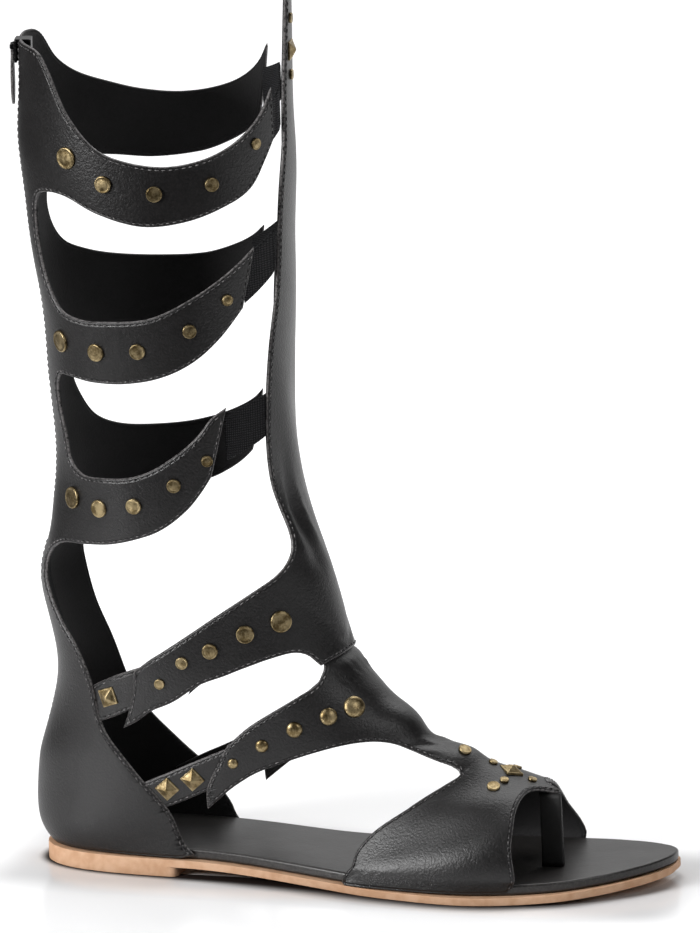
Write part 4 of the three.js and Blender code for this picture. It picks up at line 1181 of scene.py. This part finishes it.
dark_contact, shader, where = finish("contact_shade", Base_Color=(0.012, 0.006, 0.004, 1), Roughness=1.0,
                                     Specular_IOR_Level=0.0)
drive(shader, Alpha=where.node("ShaderNodeAttribute", {"attribute_name": "shade"}, output=2))
contact = add_mesh("contact", points, faces, dark_contact)
mark_points(contact, "shade", np.concatenate([a * depth for _, a in SHADE]))

# Light: a white room that is dark behind the camera and at both ends, so that the leather stays
# black, and five soft lamps. The one at the heel side lies low and gives the vamp its sheen.
world = bpy.data.worlds.new("studio")
bpy.context.scene.world = world
world.use_nodes = True
background = world.node_tree.nodes["Background"]
background.inputs["Color"].default_value = (1, 1, 1, 1)
way = Wire(world.node_tree, world.node_tree.nodes.new("ShaderNodeTexCoord").outputs["Generated"])
to_camera = way.node("ShaderNodeVectorMath", {"operation": "DOT_PRODUCT"}, output=1,
                     i0=way, i1=(0.3, -0.923, 0.24))
height = way.node("ShaderNodeSeparateXYZ", output=2, Vector=way)
toeward = way.node("ShaderNodeSeparateXYZ", output=0, Vector=way)
dark = to_camera.ramp(-0.68, 0.32)
horizon = height.ramp(-0.1, 0.05) * (1 - height.ramp(0.3, 0.6))
ends = toeward.ramp(0.35, 0.75) * 0.85 + (0 - toeward).ramp(0.2, 0.7) * 0.9
overhead = height.ramp(0.35, 0.7)
drive(background, Strength=(1.1 - 1.08 * dark) * (1 - 0.3 * horizon) * (1 - ends) * (1 - 0.35 * overhead))
bpy.context.scene.view_settings.view_transform = "Standard"


def area_light(name, place, target, size, power):
    """A soft lamp at a place in metres, turned to a target, of a size in metres and a power in watts."""
    lamp = bpy.data.lights.new(name, "AREA")
    lamp.shape = "RECTANGLE"
    lamp.size, lamp.size_y = size
    lamp.energy = power
    obj = add_object(name, lamp)
    obj.location = place
    obj.rotation_mode = "QUATERNION"
    obj.rotation_quaternion = (Vector(target) - Vector(place)).to_track_quat("-Z", "Y")


area_light("key", (-0.55, -0.8, 1.3), (0.1, 0, 0.18), (0.35, 0.7), 4)
area_light("heel_side", (-0.85, -1.0, 0.62), (0.16, 0, 0.04), (0.5, 0.4), 20)
area_light("fill", (1.1, -0.7, 0.9), (0.1, 0, 0.15), (0.4, 0.7), 4)
area_light("back", (0.3, 1.0, 1.1), (0.1, 0, 0.15), (0.9, 0.5), 3)
area_light("overhead", (0.0, 0.55, 1.4), (0.08, 0, 0.1), (0.9, 0.5), 6)

# Camera: a long lens a long way off, a little above the shoe and ahead of it, and rolled slightly.
# Its height, angle and distance come from fitting the sole, shaft and floor line to the picture.
CAMERA_DISTANCE, FOCAL_PIXELS, PICTURE_HEIGHT, SENSOR = 6.0, 15024, 933, 36
yaw, pitch, roll = math.radians(18.016), math.radians(13.976), math.radians(-1.325)
ahead = Vector((-math.sin(yaw) * math.cos(pitch), math.cos(yaw) * math.cos(pitch), -math.sin(pitch)))
right = Vector((math.cos(yaw), math.sin(yaw), 0))
up = right.cross(ahead)
turned_right = right * math.cos(roll) + up * math.sin(roll)
turned_up = up * math.cos(roll) - right * math.sin(roll)
place = Vector((0.100642, 0, 0.166896)) - ahead * CAMERA_DISTANCE
lens = bpy.data.cameras.new("camera")
lens.sensor_width = SENSOR
lens.lens = FOCAL_PIXELS * SENSOR / PICTURE_HEIGHT
lens.clip_end = 100
camera = add_object("camera", lens)
camera.matrix_world = Matrix((
    (turned_right.x, turned_up.x, -ahead.x, place.x),
    (turned_right.y, turned_up.y, -ahead.y, place.y),
    (turned_right.z, turned_up.z, -ahead.z, place.z),
    (0, 0, 0, 1),
))
bpy.context.scene.camera = camera
